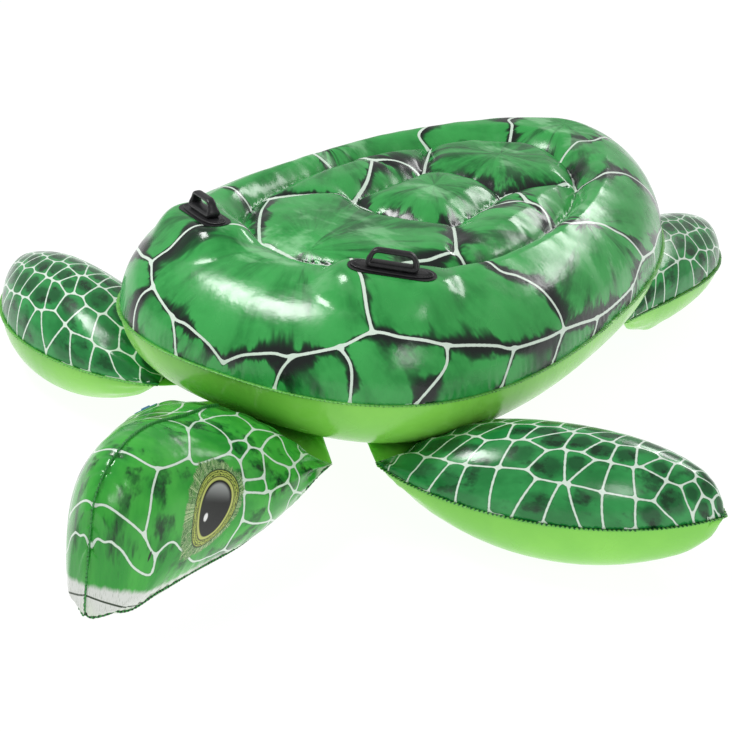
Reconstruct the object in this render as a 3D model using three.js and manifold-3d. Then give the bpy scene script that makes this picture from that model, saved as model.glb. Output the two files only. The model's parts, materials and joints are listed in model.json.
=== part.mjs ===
// Inflatable sea-turtle ride-on float: an oval shell of two welded film sheets with inner wall strips, four
// flippers and a head that hang on flat weld tabs under the shell, two moulded grab handles, and one
// push-in valve for each air chamber. Millimetres, +Z up, origin at the centre of the shell's flat underside,
// -Y towards the head, +X towards the turtle's left. Set down on a floor, the float stands on the bellies of
// its flippers and its head, 112 mm below the shell's underside.
import * as THREE from "three";
import { mergeVertices } from "three/addons/utils/BufferGeometryUtils.js";
import Module from "manifold-3d";

const wasm = await Module();
wasm.setup();

// ---------------------------------------------------------------- driving dimensions
const FILM = 1.4; // modelled film thickness
const GAP = 0.3; // clearance between welded neighbours

const SHELL_LENGTH = 1262;
const SHELL_WIDTH = 791; // nominal width of the egg curve before its taper
const SHELL_TAPER = [-0.2026, 0.0383, -0.1167]; // width change along the length: linear, square, cube
const SHELL_ROUNDNESS = 2.33; // exponent of the superellipse
const SHELL_BOTTOM = 0;
const SHELL_TOP = 309;
const SEAM_HEIGHT = 134; // where the top and the bottom sheet are welded
const TUBE_REACH = 190; // how far in from the seam the tube's quarter curves reach
const SEAM_FLANGE = 7;

const SEAT_LENGTH = 790;
const SEAT_WIDTH = 446;
const SEAT_GROOVE = SHELL_TOP - 52; // the groove between the ring tube and the seat pads
const SEAT_CROWN = SHELL_TOP - 16;

const HINGE_HEIGHT = SHELL_BOTTOM - 2.5; // the weld tabs' mid plane
const TAB_THICKNESS = 2.2;
const HINGE_GAP = 1.6; // the free film on each side of a hinge line
const LIMB_SHELL_CLEARANCE = 6; // the limbs stay this far under the shell's tube

const AROUND = 48; // columns of the shell's sheets

// ---------------------------------------------------------------- materials
function film(color, roughness = 0.28) {
  return new THREE.MeshStandardMaterial({ color, roughness, metalness: 0 });
}
const PRINTED_GREEN = 0x2f8f4a;
const PRINTED_DARK = 0x237a3c;
const LIME = 0x7acb52;
const CLEAR_FILM = 0xcfe6d4;
const HANDLE_BLACK = 0x17191b;
const VALVE_BLUE = 0x4aa3c9;
const VALVE_GREY = 0xb9c2c6;

const float = new THREE.Group();

function addPiece(name, geometry, material) {
  const mesh = new THREE.Mesh(geometry, material);
  mesh.name = name;
  float.add(mesh);
  return mesh;
}

// ---------------------------------------------------------------- thin sheets from grids of points
function signedVolume(positions, triangles) {
  let volume = 0;
  const corner = (k) => new THREE.Vector3().fromArray(positions, 3 * k);
  for (let i = 0; i < triangles.length; i += 3) {
    const a = corner(triangles[i]);
    const b = corner(triangles[i + 1]);
    const c = corner(triangles[i + 2]);
    volume += a.dot(b.cross(c)) / 6;
  }
  return volume;
}

function solidGeometry(points, triangles) {
  const positions = points.flatMap((p) => [p.x, p.y, p.z]);
  if (signedVolume(positions, triangles) < 0) triangles.reverse();
  const geometry = new THREE.BufferGeometry();
  geometry.setAttribute("position", new THREE.Float32BufferAttribute(positions, 3));
  geometry.setIndex(triangles);
  geometry.computeVertexNormals();
  return geometry;
}

// Unit normals of a grid of points, from the differences along its rows and columns.
function gridNormals(grid, wrap) {
  const rows = grid.length;
  const columns = grid[0].length;
  return grid.map((row, i) =>
    row.map((point, j) => {
      const up = grid[Math.min(i + 1, rows - 1)][j];
      const down = grid[Math.max(i - 1, 0)][j];
      const next = row[wrap ? (j + 1) % columns : Math.min(j + 1, columns - 1)];
      const last = row[wrap ? (j + columns - 1) % columns : Math.max(j - 1, 0)];
      const along = new THREE.Vector3().subVectors(next, last);
      const across = new THREE.Vector3().subVectors(up, down);
      return along.cross(across).normalize();
    }),
  );
}

// A sheet between an outer and an inner grid. A wrapped grid is a disc: its rows are rings and its last
// row closes on the two centre points.
function sheetBetween(outer, inner, centres) {
  const rows = outer.length;
  const columns = outer[0].length;
  const wrap = Boolean(centres);
  const points = [...outer.flat(), ...inner.flat()];
  const offset = rows * columns;
  const triangles = [];
  const quad = (a, b, c, d) => triangles.push(a, b, c, a, c, d);
  const at = (i, j) => i * columns + (j % columns);
  const last = wrap ? columns : columns - 1;
  for (let i = 0; i < rows - 1; i++) {
    for (let j = 0; j < last; j++) {
      quad(at(i, j), at(i, j + 1), at(i + 1, j + 1), at(i + 1, j));
      quad(offset + at(i, j), offset + at(i + 1, j), offset + at(i + 1, j + 1), offset + at(i, j + 1));
    }
  }
  for (let j = 0; j < last; j++) {
    quad(at(0, j), offset + at(0, j), offset + at(0, j + 1), at(0, j + 1));
    if (!wrap) {
      const end = rows - 1;
      quad(at(end, j + 1), offset + at(end, j + 1), offset + at(end, j), at(end, j));
    }
  }
  if (wrap) {
    points.push(...centres);
    for (let j = 0; j < columns; j++) {
      const end = rows - 1;
      triangles.push(at(end, j), at(end, j + 1), 2 * offset);
      triangles.push(offset + at(end, j + 1), offset + at(end, j), 2 * offset + 1);
    }
  } else {
    for (let i = 0; i < rows - 1; i++) {
      quad(at(i + 1, 0), offset + at(i + 1, 0), offset + at(i, 0), at(i, 0));
      quad(at(i, last), offset + at(i, last), offset + at(i + 1, last), at(i + 1, last));
    }
  }
  return solidGeometry(points, triangles);
}

// ---------------------------------------------------------------- booleans
function toSolid(geometry) {
  const bare = geometry.clone();
  bare.deleteAttribute("normal");
  bare.deleteAttribute("uv");
  const merged = mergeVertices(bare, 1e-4);
  return new wasm.Manifold(
    new wasm.Mesh({
      numProp: 3,
      vertProperties: merged.attributes.position.array,
      triVerts: new Uint32Array(merged.index.array),
    }),
  );
}

function fromSolid(solid) {
  const mesh = solid.getMesh();
  const geometry = new THREE.BufferGeometry();
  geometry.setAttribute("position", new THREE.BufferAttribute(new Float32Array(mesh.vertProperties), 3));
  geometry.setIndex(new THREE.BufferAttribute(new Uint32Array(mesh.triVerts), 1));
  geometry.computeVertexNormals();
  return geometry;
}

// ---------------------------------------------------------------- plan curves
const signedPower = (value, power) => Math.sign(value) * Math.abs(value) ** power;

function eggPoint(angle, length, width, taper, roundness) {
  const along = signedPower(Math.sin(angle), 2 / roundness);
  const across = signedPower(Math.cos(angle), 2 / roundness);
  const widening = 1 + taper[0] * along + taper[1] * along ** 2 + taper[2] * along ** 3;
  return new THREE.Vector2((width / 2) * across * widening, (length / 2) * along);
}

const rimPoint = (angle) => eggPoint(angle, SHELL_LENGTH, SHELL_WIDTH, SHELL_TAPER, SHELL_ROUNDNESS);
const seatPoint = (angle) => eggPoint(angle, SEAT_LENGTH, SEAT_WIDTH, SHELL_TAPER, SHELL_ROUNDNESS);

function columnAngle(j) {
  return (2 * Math.PI * (j + 0.5)) / AROUND;
}

function inwardNormal(angle) {
  const step = 0.01;
  const tangent = rimPoint(angle + step).sub(rimPoint(angle - step)).normalize();
  return new THREE.Vector2(-tangent.y, tangent.x);
}

// How far a plan point lies inside the shell's rim, measured on a fine copy of the rim.
const FINE_RIM = Array.from({ length: 720 }, (_, k) => rimPoint((Math.PI * k) / 360));
function insetOf(x, y) {
  let nearest = Infinity;
  let inside = false;
  for (let k = 0; k < FINE_RIM.length; k++) {
    const a = FINE_RIM[k];
    const b = FINE_RIM[(k + 1) % FINE_RIM.length];
    nearest = Math.min(nearest, Math.hypot(a.x - x, a.y - y));
    if (a.y > y !== b.y > y && x < a.x + ((b.x - a.x) * (y - a.y)) / (b.y - a.y)) inside = !inside;
  }
  return inside ? nearest : -nearest;
}

// Height of the shell's underside above a plan point; outside the rim there is nothing overhead.
function undersideHeight(x, y) {
  const inset = insetOf(x, y);
  if (inset <= 0) return Infinity;
  const turn = Math.acos(Math.max(0, 1 - inset / TUBE_REACH));
  return SEAM_HEIGHT - (SEAM_HEIGHT - SHELL_BOTTOM) * Math.sin(turn);
}

// ---------------------------------------------------------------- shell sheets
const QUARTER_STEPS = [14, 28, 42, 55, 66].map((degrees) => THREE.MathUtils.degToRad(degrees));
const SEAT_RINGS = [0.86, 0.66, 0.44, 0.22];

function shellRing(height, inset) {
  return Array.from({ length: AROUND }, (_, j) => {
    const angle = columnAngle(j);
    const point = rimPoint(angle).addScaledVector(inwardNormal(angle), inset);
    return new THREE.Vector3(point.x, point.y, height);
  });
}

function seatRing(height, scale) {
  return Array.from({ length: AROUND }, (_, j) => {
    const point = seatPoint(columnAngle(j)).multiplyScalar(scale);
    return new THREE.Vector3(point.x, point.y, height);
  });
}

function topSheetRows() {
  const start = SEAM_HEIGHT + GAP / 2 + FILM;
  const rise = SHELL_TOP - start;
  const rows = [shellRing(start, -SEAM_FLANGE), shellRing(start, 0)];
  for (const turn of QUARTER_STEPS) {
    rows.push(shellRing(start + rise * Math.sin(turn), TUBE_REACH * (1 - Math.cos(turn))));
  }
  const outer = rows.at(-1);
  const groove = seatRing(SEAT_GROOVE, 1);
  const crest = outer.map((p, j) => p.clone().lerp(groove[j], 0.35).setZ(SHELL_TOP));
  rows.push(crest, groove);
  for (const scale of SEAT_RINGS) {
    const pillow = (1 - scale ** 4) ** 0.5;
    rows.push(seatRing(SEAT_GROOVE + (SEAT_CROWN - SEAT_GROOVE) * pillow, scale));
  }
  return rows;
}

function bottomSheetRows() {
  const start = SEAM_HEIGHT - GAP / 2 - FILM;
  const drop = start - SHELL_BOTTOM;
  const rows = [shellRing(start, -SEAM_FLANGE), shellRing(start, 0)];
  for (const turn of [...QUARTER_STEPS, THREE.MathUtils.degToRad(78)]) {
    rows.push(shellRing(start - drop * Math.sin(turn), TUBE_REACH * (1 - Math.cos(turn))));
  }
  rows.push(seatRing(SHELL_BOTTOM, 0.98), seatRing(SHELL_BOTTOM, 0.4));
  return rows;
}

// The film lies on the inner side of the outer rows; the flange's film is level.
function shellSheet(rows, centreHeight, upwards) {
  const sign = upwards ? 1 : -1;
  const normals = gridNormals(rows, true);
  const inner = rows.map((row, i) =>
    row.map((point, j) => {
      const normal = i < 2 ? new THREE.Vector3(0, 0, sign) : normals[i][j];
      if (normal.z * sign < 0) normal.negate();
      return point.clone().addScaledVector(normal, -FILM);
    }),
  );
  const centres = [centreHeight, centreHeight - sign * FILM].map((z) => new THREE.Vector3(0, 0, z));
  return sheetBetween(rows, inner, centres);
}

const topSheet = shellSheet(topSheetRows(), SEAT_CROWN, true);
const shellTop = addPiece("shell_top_sheet", topSheet, film(PRINTED_GREEN));
addPiece("shell_bottom_sheet", shellSheet(bottomSheetRows(), SHELL_BOTTOM, false), film(LIME));

// ---------------------------------------------------------------- inner wall strips
const WALL_FLOOR = SHELL_BOTTOM + FILM + 0.6;

// The wall that parts the ring chamber from the seat chamber: a closed band under the seat's groove.
function ringWall() {
  const top = SEAT_GROOVE - FILM - 2.5;
  const shape = new THREE.Shape(seatRing(0, 1).map((p) => new THREE.Vector2(p.x, p.y)));
  const scale = 1 - (2 * FILM) / SEAT_WIDTH;
  shape.holes.push(new THREE.Path(seatRing(0, scale).map((p) => new THREE.Vector2(p.x, p.y))));
  const geometry = new THREE.ExtrudeGeometry(shape, { depth: top - WALL_FLOOR, bevelEnabled: false });
  return geometry.translate(0, 0, WALL_FLOOR);
}
addPiece("ring_inner_wall", ringWall(), film(CLEAR_FILM));

// A strip between two plan points under the seat, level with the groove between two pads.
function padStrip(from, to, height) {
  const length = from.distanceTo(to);
  const geometry = new THREE.BoxGeometry(length, FILM, height - WALL_FLOOR);
  geometry.rotateZ(Math.atan2(to.y - from.y, to.x - from.x));
  return geometry.translate((from.x + to.x) / 2, (from.y + to.y) / 2, (height + WALL_FLOOR) / 2);
}

const STRIP_TOP = SEAT_GROOVE - FILM - 2;
const CROSS_STRIPS = [
  ["saddle_rear", 104, -126],
  ["dome_front", 86, 122],
];
for (const [place, half, y] of CROSS_STRIPS) {
  const strip = padStrip(new THREE.Vector2(-half, y), new THREE.Vector2(half, y), STRIP_TOP);
  addPiece(`${place}_strip`, strip, film(CLEAR_FILM));
}
// The strips of one side: beside the saddle's rear corner, the middle pad and the rear dome.
const SIDE_STRIPS = [
  ["front", [116, -122], [192, -222]],
  ["middle", [106, -112], [92, 112]],
  ["rear", [96, 128], [150, 218]],
];
for (const [side, mirror] of [["left", 1], ["right", -1]]) {
  for (const [place, inner, outer] of SIDE_STRIPS) {
    const from = new THREE.Vector2(mirror * inner[0], inner[1]);
    const to = new THREE.Vector2(mirror * outer[0], outer[1]);
    addPiece(`side_strip_${place}_${side}`, padStrip(from, to, STRIP_TOP), film(CLEAR_FILM));
  }
}

// ---------------------------------------------------------------- grab handles
const HANDLE_CENTRE = new THREE.Vector2(200, -432);
const HANDLE_SWEEP = THREE.MathUtils.degToRad(28); // the outer end is swept back
const HANDLE_LENGTH = 142;
const HANDLE_DEPTH = 42;
const GRIP_HEIGHT = 38;
const FINGER_OPENING = [76, 25];
const GRIP_DEPTH = 20;
const PAD_MARGIN = 5; // how far the welded pad shows round the grip's flange
const PAD_THICKNESS = 1.5;

function stadium(length, depth) {
  const r = depth / 2;
  const shape = new THREE.Shape();
  shape.moveTo(-length / 2 + r, -r);
  shape.lineTo(length / 2 - r, -r);
  shape.absarc(length / 2 - r, 0, r, -Math.PI / 2, Math.PI / 2, false);
  shape.lineTo(-length / 2 + r, r);
  shape.absarc(-length / 2 + r, 0, r, Math.PI / 2, (3 * Math.PI) / 2, false);
  return shape;
}

function gripGeometry() {
  const flange = new THREE.ExtrudeGeometry(stadium(HANDLE_LENGTH, HANDLE_DEPTH), {
    depth: 4,
    bevelEnabled: false,
    curveSegments: 10,
  });
  const [opening, clear] = FINGER_OPENING;
  const shoulder = opening / 2 + 13;
  const side = new THREE.Shape();
  side.moveTo(-shoulder - 8, 0);
  side.lineTo(shoulder + 8, 0);
  side.quadraticCurveTo(shoulder + 2, GRIP_HEIGHT * 0.9, shoulder - 12, GRIP_HEIGHT);
  side.lineTo(-shoulder + 12, GRIP_HEIGHT);
  side.quadraticCurveTo(-shoulder - 2, GRIP_HEIGHT * 0.9, -shoulder - 8, 0);
  const hole = new THREE.Path();
  hole.moveTo(-opening / 2, 4);
  hole.lineTo(opening / 2, 4);
  hole.quadraticCurveTo(opening / 2 - 2, clear + 4, opening / 2 - 14, clear + 4);
  hole.lineTo(-opening / 2 + 14, clear + 4);
  hole.quadraticCurveTo(-opening / 2 + 2, clear + 4, -opening / 2, 4);
  side.holes.push(hole);
  const arch = new THREE.ExtrudeGeometry(side, { depth: GRIP_DEPTH, bevelEnabled: false, curveSegments: 6 });
  arch.rotateX(Math.PI / 2).translate(0, GRIP_DEPTH / 2, 2);
  return fromSolid(toSolid(flange).add(toSolid(arch)));
}

const raycaster = new THREE.Raycaster();
function topHeight(x, y) {
  raycaster.set(new THREE.Vector3(x, y, 2 * SHELL_TOP), new THREE.Vector3(0, 0, -1));
  return raycaster.intersectObject(shellTop)[0].point.z;
}

// The frame that lays a flat plate on the shell's crown: its plane follows the slope between the plate's
// ends and clears the highest film under the plate.
function plateFrame(centre, turn, length, depth) {
  const u = new THREE.Vector2(Math.cos(turn), Math.sin(turn));
  const v = new THREE.Vector2(-u.y, u.x);
  const spot = (a, b) => centre.clone().addScaledVector(u, a).addScaledVector(v, b);
  const height = (a, b) => topHeight(spot(a, b).x, spot(a, b).y);
  const slopeU = (height(length / 2, 0) - height(-length / 2, 0)) / length;
  const slopeV = (height(0, depth / 2) - height(0, -depth / 2)) / depth;
  const along = new THREE.Vector3(u.x, u.y, slopeU).normalize();
  const across = new THREE.Vector3(v.x, v.y, slopeV);
  const normal = new THREE.Vector3().crossVectors(along, across).normalize();
  across.crossVectors(normal, along);
  const origin = new THREE.Vector3(centre.x, centre.y, height(0, 0));
  let lift = 0;
  for (let a = -length / 2; a <= length / 2; a += length / 12) {
    for (let b = -depth / 2; b <= depth / 2; b += depth / 4) {
      const film = new THREE.Vector3(spot(a, b).x, spot(a, b).y, height(a, b));
      lift = Math.max(lift, film.sub(origin).dot(normal));
    }
  }
  origin.addScaledVector(normal, lift + 1);
  return new THREE.Matrix4().makeBasis(along, across, normal).setPosition(origin);
}

function addHandle(side, mirror) {
  const padLength = HANDLE_LENGTH + 2 * PAD_MARGIN;
  const padDepth = HANDLE_DEPTH + 2 * PAD_MARGIN;
  const centre = new THREE.Vector2(mirror * HANDLE_CENTRE.x, HANDLE_CENTRE.y);
  const frame = plateFrame(centre, mirror * HANDLE_SWEEP, padLength, padDepth);
  const pad = new THREE.ExtrudeGeometry(stadium(padLength, padDepth), {
    depth: PAD_THICKNESS,
    bevelEnabled: false,
    curveSegments: 10,
  });
  const grip = gripGeometry().translate(0, 0, PAD_THICKNESS + GAP);
  addPiece(`handle_pad_${side}`, pad.applyMatrix4(frame), film(HANDLE_BLACK, 0.5));
  addPiece(`handle_grip_${side}`, grip.applyMatrix4(frame), film(HANDLE_BLACK, 0.45));
}
addHandle("left", 1);
addHandle("right", -1);

// ---------------------------------------------------------------- limbs: pillows with a straight root
const smooth = (x, a, b) => THREE.MathUtils.smoothstep(x, a, b);

// A smooth curve through (place, value) pairs: cubic pieces with the slopes of the neighbouring chords.
function profile(pairs) {
  const chord = (a, b) => (pairs[b][1] - pairs[a][1]) / (pairs[b][0] - pairs[a][0]);
  const last = pairs.length - 1;
  const slopes = pairs.map((_, k) => chord(Math.max(0, k - 1), Math.min(last, k + 1)));
  return (s) => {
    const k = Math.max(1, pairs.findIndex(([place]) => place >= s - 1e-9));
    const span = pairs[k][0] - pairs[k - 1][0];
    const t = (s - pairs[k - 1][0]) / span;
    const fromLeft = (1 - t) ** 2 * ((1 + 2 * t) * pairs[k - 1][1] + t * span * slopes[k - 1]);
    const fromRight = t ** 2 * (3 - 2 * t) * pairs[k][1] - t ** 2 * (1 - t) * span * slopes[k];
    return fromLeft + fromRight;
  };
}

// A flipper is drawn in plan by two curves from the ends of its root line to its tip, the one ahead of the
// other. The thickness is given along it, from the root to the tip.
const plan = (...points) => new THREE.CubicBezierCurve(...points.map(([x, y]) => new THREE.Vector2(x, y)));

const FRONT_FLIPPER = {
  ahead: plan([238, -512], [400, -590], [690, -540], [787, -296]),
  behind: plan([322, -262], [430, -370], [690, -155], [787, -296]),
  seamDrop: 6, // how far the edge seam falls from the root to the tip
  thickness: profile([[0, 0], [0.12, 120], [0.35, 212], [0.6, 222], [0.85, 150], [0.96, 70], [1, 16]]),
};

const REAR_FLIPPER = {
  ahead: plan([272, 292], [255, 420], [350, 720], [156, 866]),
  behind: plan([146, 460], [60, 600], [0, 830], [156, 866]),
  seamDrop: 16,
  thickness: profile([[0, 0], [0.12, 116], [0.35, 188], [0.6, 172], [0.85, 116], [0.96, 58], [1, 14]]),
};

const LIMB_ROWS = 13;
const LIMB_COLUMNS = 9;
const TIP = 0.985; // the rows stop just short of the tip, which leaves it a few millimetres wide

const rootLine = (limb) => [limb.ahead.getPoint(0), limb.behind.getPoint(0)];

// Rows of points from the root to the tip. Across, the section is half an ellipse above or below the seam
// plane; at the root both sheets lie flat on the weld.
function flipperRows(limb, upwards) {
  const sign = upwards ? 1 : -1;
  const [rootAhead, rootBehind] = rootLine(limb);
  const rootAxis = rootBehind.clone().sub(rootAhead).normalize();
  const outward = new THREE.Vector2(rootAxis.y, -rootAxis.x);
  return Array.from({ length: LIMB_ROWS }, (_, i) => {
    const s = (TIP * i) / (LIMB_ROWS - 1);
    const seam = HINGE_HEIGHT - limb.seamDrop * s;
    return Array.from({ length: LIMB_COLUMNS }, (_, j) => {
      const v = -Math.cos((Math.PI * j) / (LIMB_COLUMNS - 1));
      const point = limb.behind.getPoint(s).lerp(limb.ahead.getPoint(s), (v + 1) / 2);
      point.addScaledVector(outward, HINGE_GAP);
      let height = (limb.thickness(s) / 2) * Math.sqrt(1 - v * v);
      if (upwards) {
        const room = undersideHeight(point.x, point.y) - LIMB_SHELL_CLEARANCE - seam;
        height = Math.min(height, Math.max(room, FILM));
      }
      if (i === 0) height = FILM;
      return new THREE.Vector3(point.x, point.y, seam + sign * (GAP / 2 + height));
    });
  });
}

// The inner side of a limb's sheet. At the root the film is level; along the side edges and the tip its
// thickness lies in the seam plane, so that the two sheets meet face to face there.
function limbInner(rows, sign, tipIsEdge = true) {
  const normals = gridNormals(rows, false);
  const last = rows.length - 1;
  const end = rows[0].length - 1;
  return rows.map((row, i) =>
    row.map((point, j) => {
      if (i === 0) return point.clone().setZ(point.z - sign * FILM);
      let towards = normals[i][j].clone().negate();
      if (towards.z * sign > 0) towards.negate();
      if (j === 0 || j === end) towards.subVectors(row[j === 0 ? 1 : end - 1], point).setZ(0).normalize();
      if (i === last && tipIsEdge) towards = rows[last - 1][j].clone().sub(point).setZ(0).normalize();
      return point.clone().addScaledVector(towards, FILM);
    }),
  );
}

function mirrored(geometry) {
  const copy = geometry.clone();
  const position = copy.getAttribute("position");
  for (let k = 0; k < position.count; k++) position.setX(k, -position.getX(k));
  const index = copy.getIndex();
  for (let k = 0; k < index.count; k += 3) {
    const first = index.getX(k);
    index.setX(k, index.getX(k + 1));
    index.setX(k + 1, first);
  }
  copy.computeVertexNormals();
  return copy;
}

function addBothSides(name, geometry, material) {
  addPiece(`${name.replace("SIDE", "left")}`, geometry, material);
  addPiece(`${name.replace("SIDE", "right")}`, mirrored(geometry), material.clone());
}

for (const [place, limb] of [["front", FRONT_FLIPPER], ["rear", REAR_FLIPPER]]) {
  const top = flipperRows(limb, true);
  const bottom = flipperRows(limb, false);
  addBothSides(`${place}_SIDE_flipper_top`, sheetBetween(top, limbInner(top, 1)), film(PRINTED_DARK));
  addBothSides(`${place}_SIDE_flipper_bottom`, sheetBetween(bottom, limbInner(bottom, -1)), film(LIME));
}

// ---------------------------------------------------------------- weld tabs under the shell
// A flat doubled film from a limb's hinge line inwards under the shell. Its outer edge is the hinge line,
// less the gap, and its ends are cut back by the taper.
function weldTab(rootA, rootB, reach, taper) {
  const along = rootB.clone().sub(rootA).normalize();
  const inward = new THREE.Vector2(-along.y, along.x);
  const towardsCentre = rootA.clone().add(rootB).multiplyScalar(-0.5);
  if (inward.dot(towardsCentre) < 0) inward.negate();
  const corner = (root, shift, depth) =>
    root.clone().addScaledVector(along, shift).addScaledVector(inward, depth);
  const shape = new THREE.Shape([
    corner(rootA, 0, HINGE_GAP),
    corner(rootB, 0, HINGE_GAP),
    corner(rootB, -taper, reach),
    corner(rootA, taper, reach),
  ]);
  const plate = new THREE.ExtrudeGeometry(shape, { depth: TAB_THICKNESS, bevelEnabled: false });
  return plate.translate(0, 0, HINGE_HEIGHT - TAB_THICKNESS / 2);
}

function indexed(geometry) {
  return fromSolid(toSolid(geometry));
}

const NECK = { centreY: -563, halfWidth: 186 };
addBothSides("front_SIDE_weld_tab", indexed(weldTab(...rootLine(FRONT_FLIPPER), 85, 40)), film(LIME));
addBothSides("rear_SIDE_weld_tab", indexed(weldTab(...rootLine(REAR_FLIPPER), 85, 30)), film(LIME));
const neckLeft = new THREE.Vector2(NECK.halfWidth, NECK.centreY);
const neckRight = new THREE.Vector2(-NECK.halfWidth, NECK.centreY);
addPiece("neck_weld_tab", weldTab(neckLeft, neckRight, 95, 95), film(LIME));

// ---------------------------------------------------------------- head
const HEAD = {
  length: 536,
  yaw: THREE.MathUtils.degToRad(10.6), // the head lies turned to the turtle's left
  halfWidth: profile([[0, 186], [0.1, 172], [0.4, 158], [0.62, 118], [0.82, 88], [0.94, 44], [1, 10]]),
  ridge: profile([
    [0, 0],
    [0.1, 62],
    [0.22, 100],
    [0.42, 126],
    [0.64, 158],
    [0.8, 155],
    [0.93, 118],
    [1, 22],
  ]),
  belly: profile([[0, 0], [0.14, 84], [0.3, 109], [0.8, 109], [0.92, 92], [1, 18]]),
};
const CHEEK_TURN = THREE.MathUtils.degToRad(-48); // the cheek seams run this far under the widest line
const CHEEK_EASE = 1.5; // the bottom panel hangs this far under the cheek seams
const CHIN_DROP = 82; // how far the widest line sinks towards the chin, where the head's seams end
const HEAD_ROWS = 17;
const HEAD_COLUMNS = 11;

// A point of the head's skin: s runs from the neck to the nose, across is the sideways place, up is the
// height over the seam plane.
function headPoint(s, across, up) {
  const bend = HEAD.yaw * smooth(s, 0, 0.25);
  const along = HEAD.length * s + HINGE_GAP;
  const x = along * Math.sin(HEAD.yaw) + across * Math.cos(bend);
  const y = NECK.centreY - along * Math.cos(HEAD.yaw) + across * Math.sin(bend);
  return new THREE.Vector3(x, y, HINGE_HEIGHT + up - chinDrop(s));
}

const chinDrop = (s) => CHIN_DROP * smooth(s, 0.78, 1);
const ridgeOf = (s) => HEAD.ridge(s) + 0.85 * chinDrop(s) * (1 - smooth(s, 0.93, 1));
const bellyOf = (s) => Math.max(HEAD.belly(s) - chinDrop(s), Math.min(HEAD.belly(s), 14));

// The cheek seams start at the neck's corners and drop under the head's widest line.
const cheekTurn = (s) => CHEEK_TURN * smooth(s, 0, 0.25);
const cheekHeight = (s) => bellyOf(s) * Math.sin(cheekTurn(s));

function headPanelRows(mirror) {
  return Array.from({ length: HEAD_ROWS }, (_, i) => {
    const s = (i / (HEAD_ROWS - 1)) ** 0.85;
    return Array.from({ length: HEAD_COLUMNS }, (_, j) => {
      const turn = THREE.MathUtils.lerp(cheekTurn(s), Math.PI / 2, j / (HEAD_COLUMNS - 1));
      const across = mirror * (GAP / 2 + HEAD.halfWidth(s) * Math.cos(turn));
      const reach = turn > 0 ? ridgeOf(s) : bellyOf(s);
      const up = i === 0 ? GAP / 2 + FILM : GAP / 2 + reach * Math.sin(turn);
      const point = headPoint(s, across, up);
      const room = undersideHeight(point.x, point.y) - LIMB_SHELL_CLEARANCE;
      return point.setZ(Math.min(point.z, Math.max(room, HINGE_HEIGHT + GAP / 2 + FILM)));
    });
  });
}

// The panel's inner side: level at the neck, straight down under the ridge seam, level along the cheek
// seam and along its row at the nose, so that the three panels only meet at their seams.
function headPanelInner(rows) {
  const normals = gridNormals(rows, false);
  const last = rows.length - 1;
  const end = rows[0].length - 1;
  const middle = (i) => headPoint((i / last) ** 0.85, 0, 0);
  return rows.map((row, i) =>
    row.map((point, j) => {
      if (i === 0) return point.clone().setZ(point.z - FILM);
      const inward = middle(i).sub(point);
      let towards = normals[i][j].clone();
      if (towards.dot(inward) < 0) towards.negate();
      if (i === last) towards = new THREE.Vector3(-Math.sin(HEAD.yaw), Math.cos(HEAD.yaw), 0);
      if (j === 0) towards = inward.clone().setZ(0).normalize();
      if (j === end) towards = new THREE.Vector3(0, 0, -1);
      return point.clone().addScaledVector(towards, FILM);
    }),
  );
}

function headBottomRows() {
  return Array.from({ length: HEAD_ROWS }, (_, i) => {
    const s = (i / (HEAD_ROWS - 1)) ** 0.85;
    return Array.from({ length: LIMB_COLUMNS }, (_, j) => {
      const v = -Math.cos((Math.PI * j) / (LIMB_COLUMNS - 1));
      const across = v * (GAP / 2 + HEAD.halfWidth(s) * Math.cos(cheekTurn(s)));
      const hang = (cheekHeight(s) + bellyOf(s)) * Math.sqrt(1 - v * v);
      const up = i === 0 ? -GAP / 2 - FILM : cheekHeight(s) - CHEEK_EASE - hang;
      return headPoint(s, across, up);
    });
  });
}

const leftPanel = headPanelRows(1);
const rightPanel = headPanelRows(-1);
const bellyPanel = headBottomRows();
addPiece("head_left_panel", sheetBetween(leftPanel, headPanelInner(leftPanel)), film(PRINTED_DARK));
addPiece("head_right_panel", sheetBetween(rightPanel, headPanelInner(rightPanel)), film(PRINTED_DARK));
addPiece("head_bottom_panel", sheetBetween(bellyPanel, limbInner(bellyPanel, -1)), film(0xdfe9dc));

// ---------------------------------------------------------------- valves
// A push-in valve: a flange welded on the film, a soft stem that is pressed in flush through a hole, a plug
// cap in the stem's bore and a check flap under the stem.
const VALVE = {
  hole: 12,
  flange: [9.6, 21, 1.2], // bore radius, outer radius, thickness
  stem: [4.2, 8.4, 15], // bore radius, outer radius, length
  cap: [3.8, 8, 2, 6], // plug radius, head radius, head thickness, plug length
  flap: [6.5, 0.8],
};
const VALVE_SEGMENTS = 16;
const VALVE_LIFT = 2.4; // the flange's underside over the film's highest facet

function lathe(outline) {
  const points = outline.map(([r, z]) => new THREE.Vector2(r, z));
  return new THREE.LatheGeometry(points, VALVE_SEGMENTS).rotateX(Math.PI / 2);
}

function ringOutline(inner, outer, bottom, top) {
  return [[inner, bottom], [outer, bottom], [outer, top], [inner, top], [inner, bottom]];
}

// The frame at the first point of a piece that a straight line meets; its Z points out of the piece.
function frameWhereLineMeets(mesh, from, towards) {
  raycaster.set(from, towards.clone().normalize());
  const hit = raycaster.intersectObject(mesh)[0];
  const normal = hit.face.normal.clone().normalize();
  const turn = new THREE.Quaternion().setFromUnitVectors(new THREE.Vector3(0, 0, 1), normal);
  return new THREE.Matrix4().compose(hit.point, turn, new THREE.Vector3(1, 1, 1));
}

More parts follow.
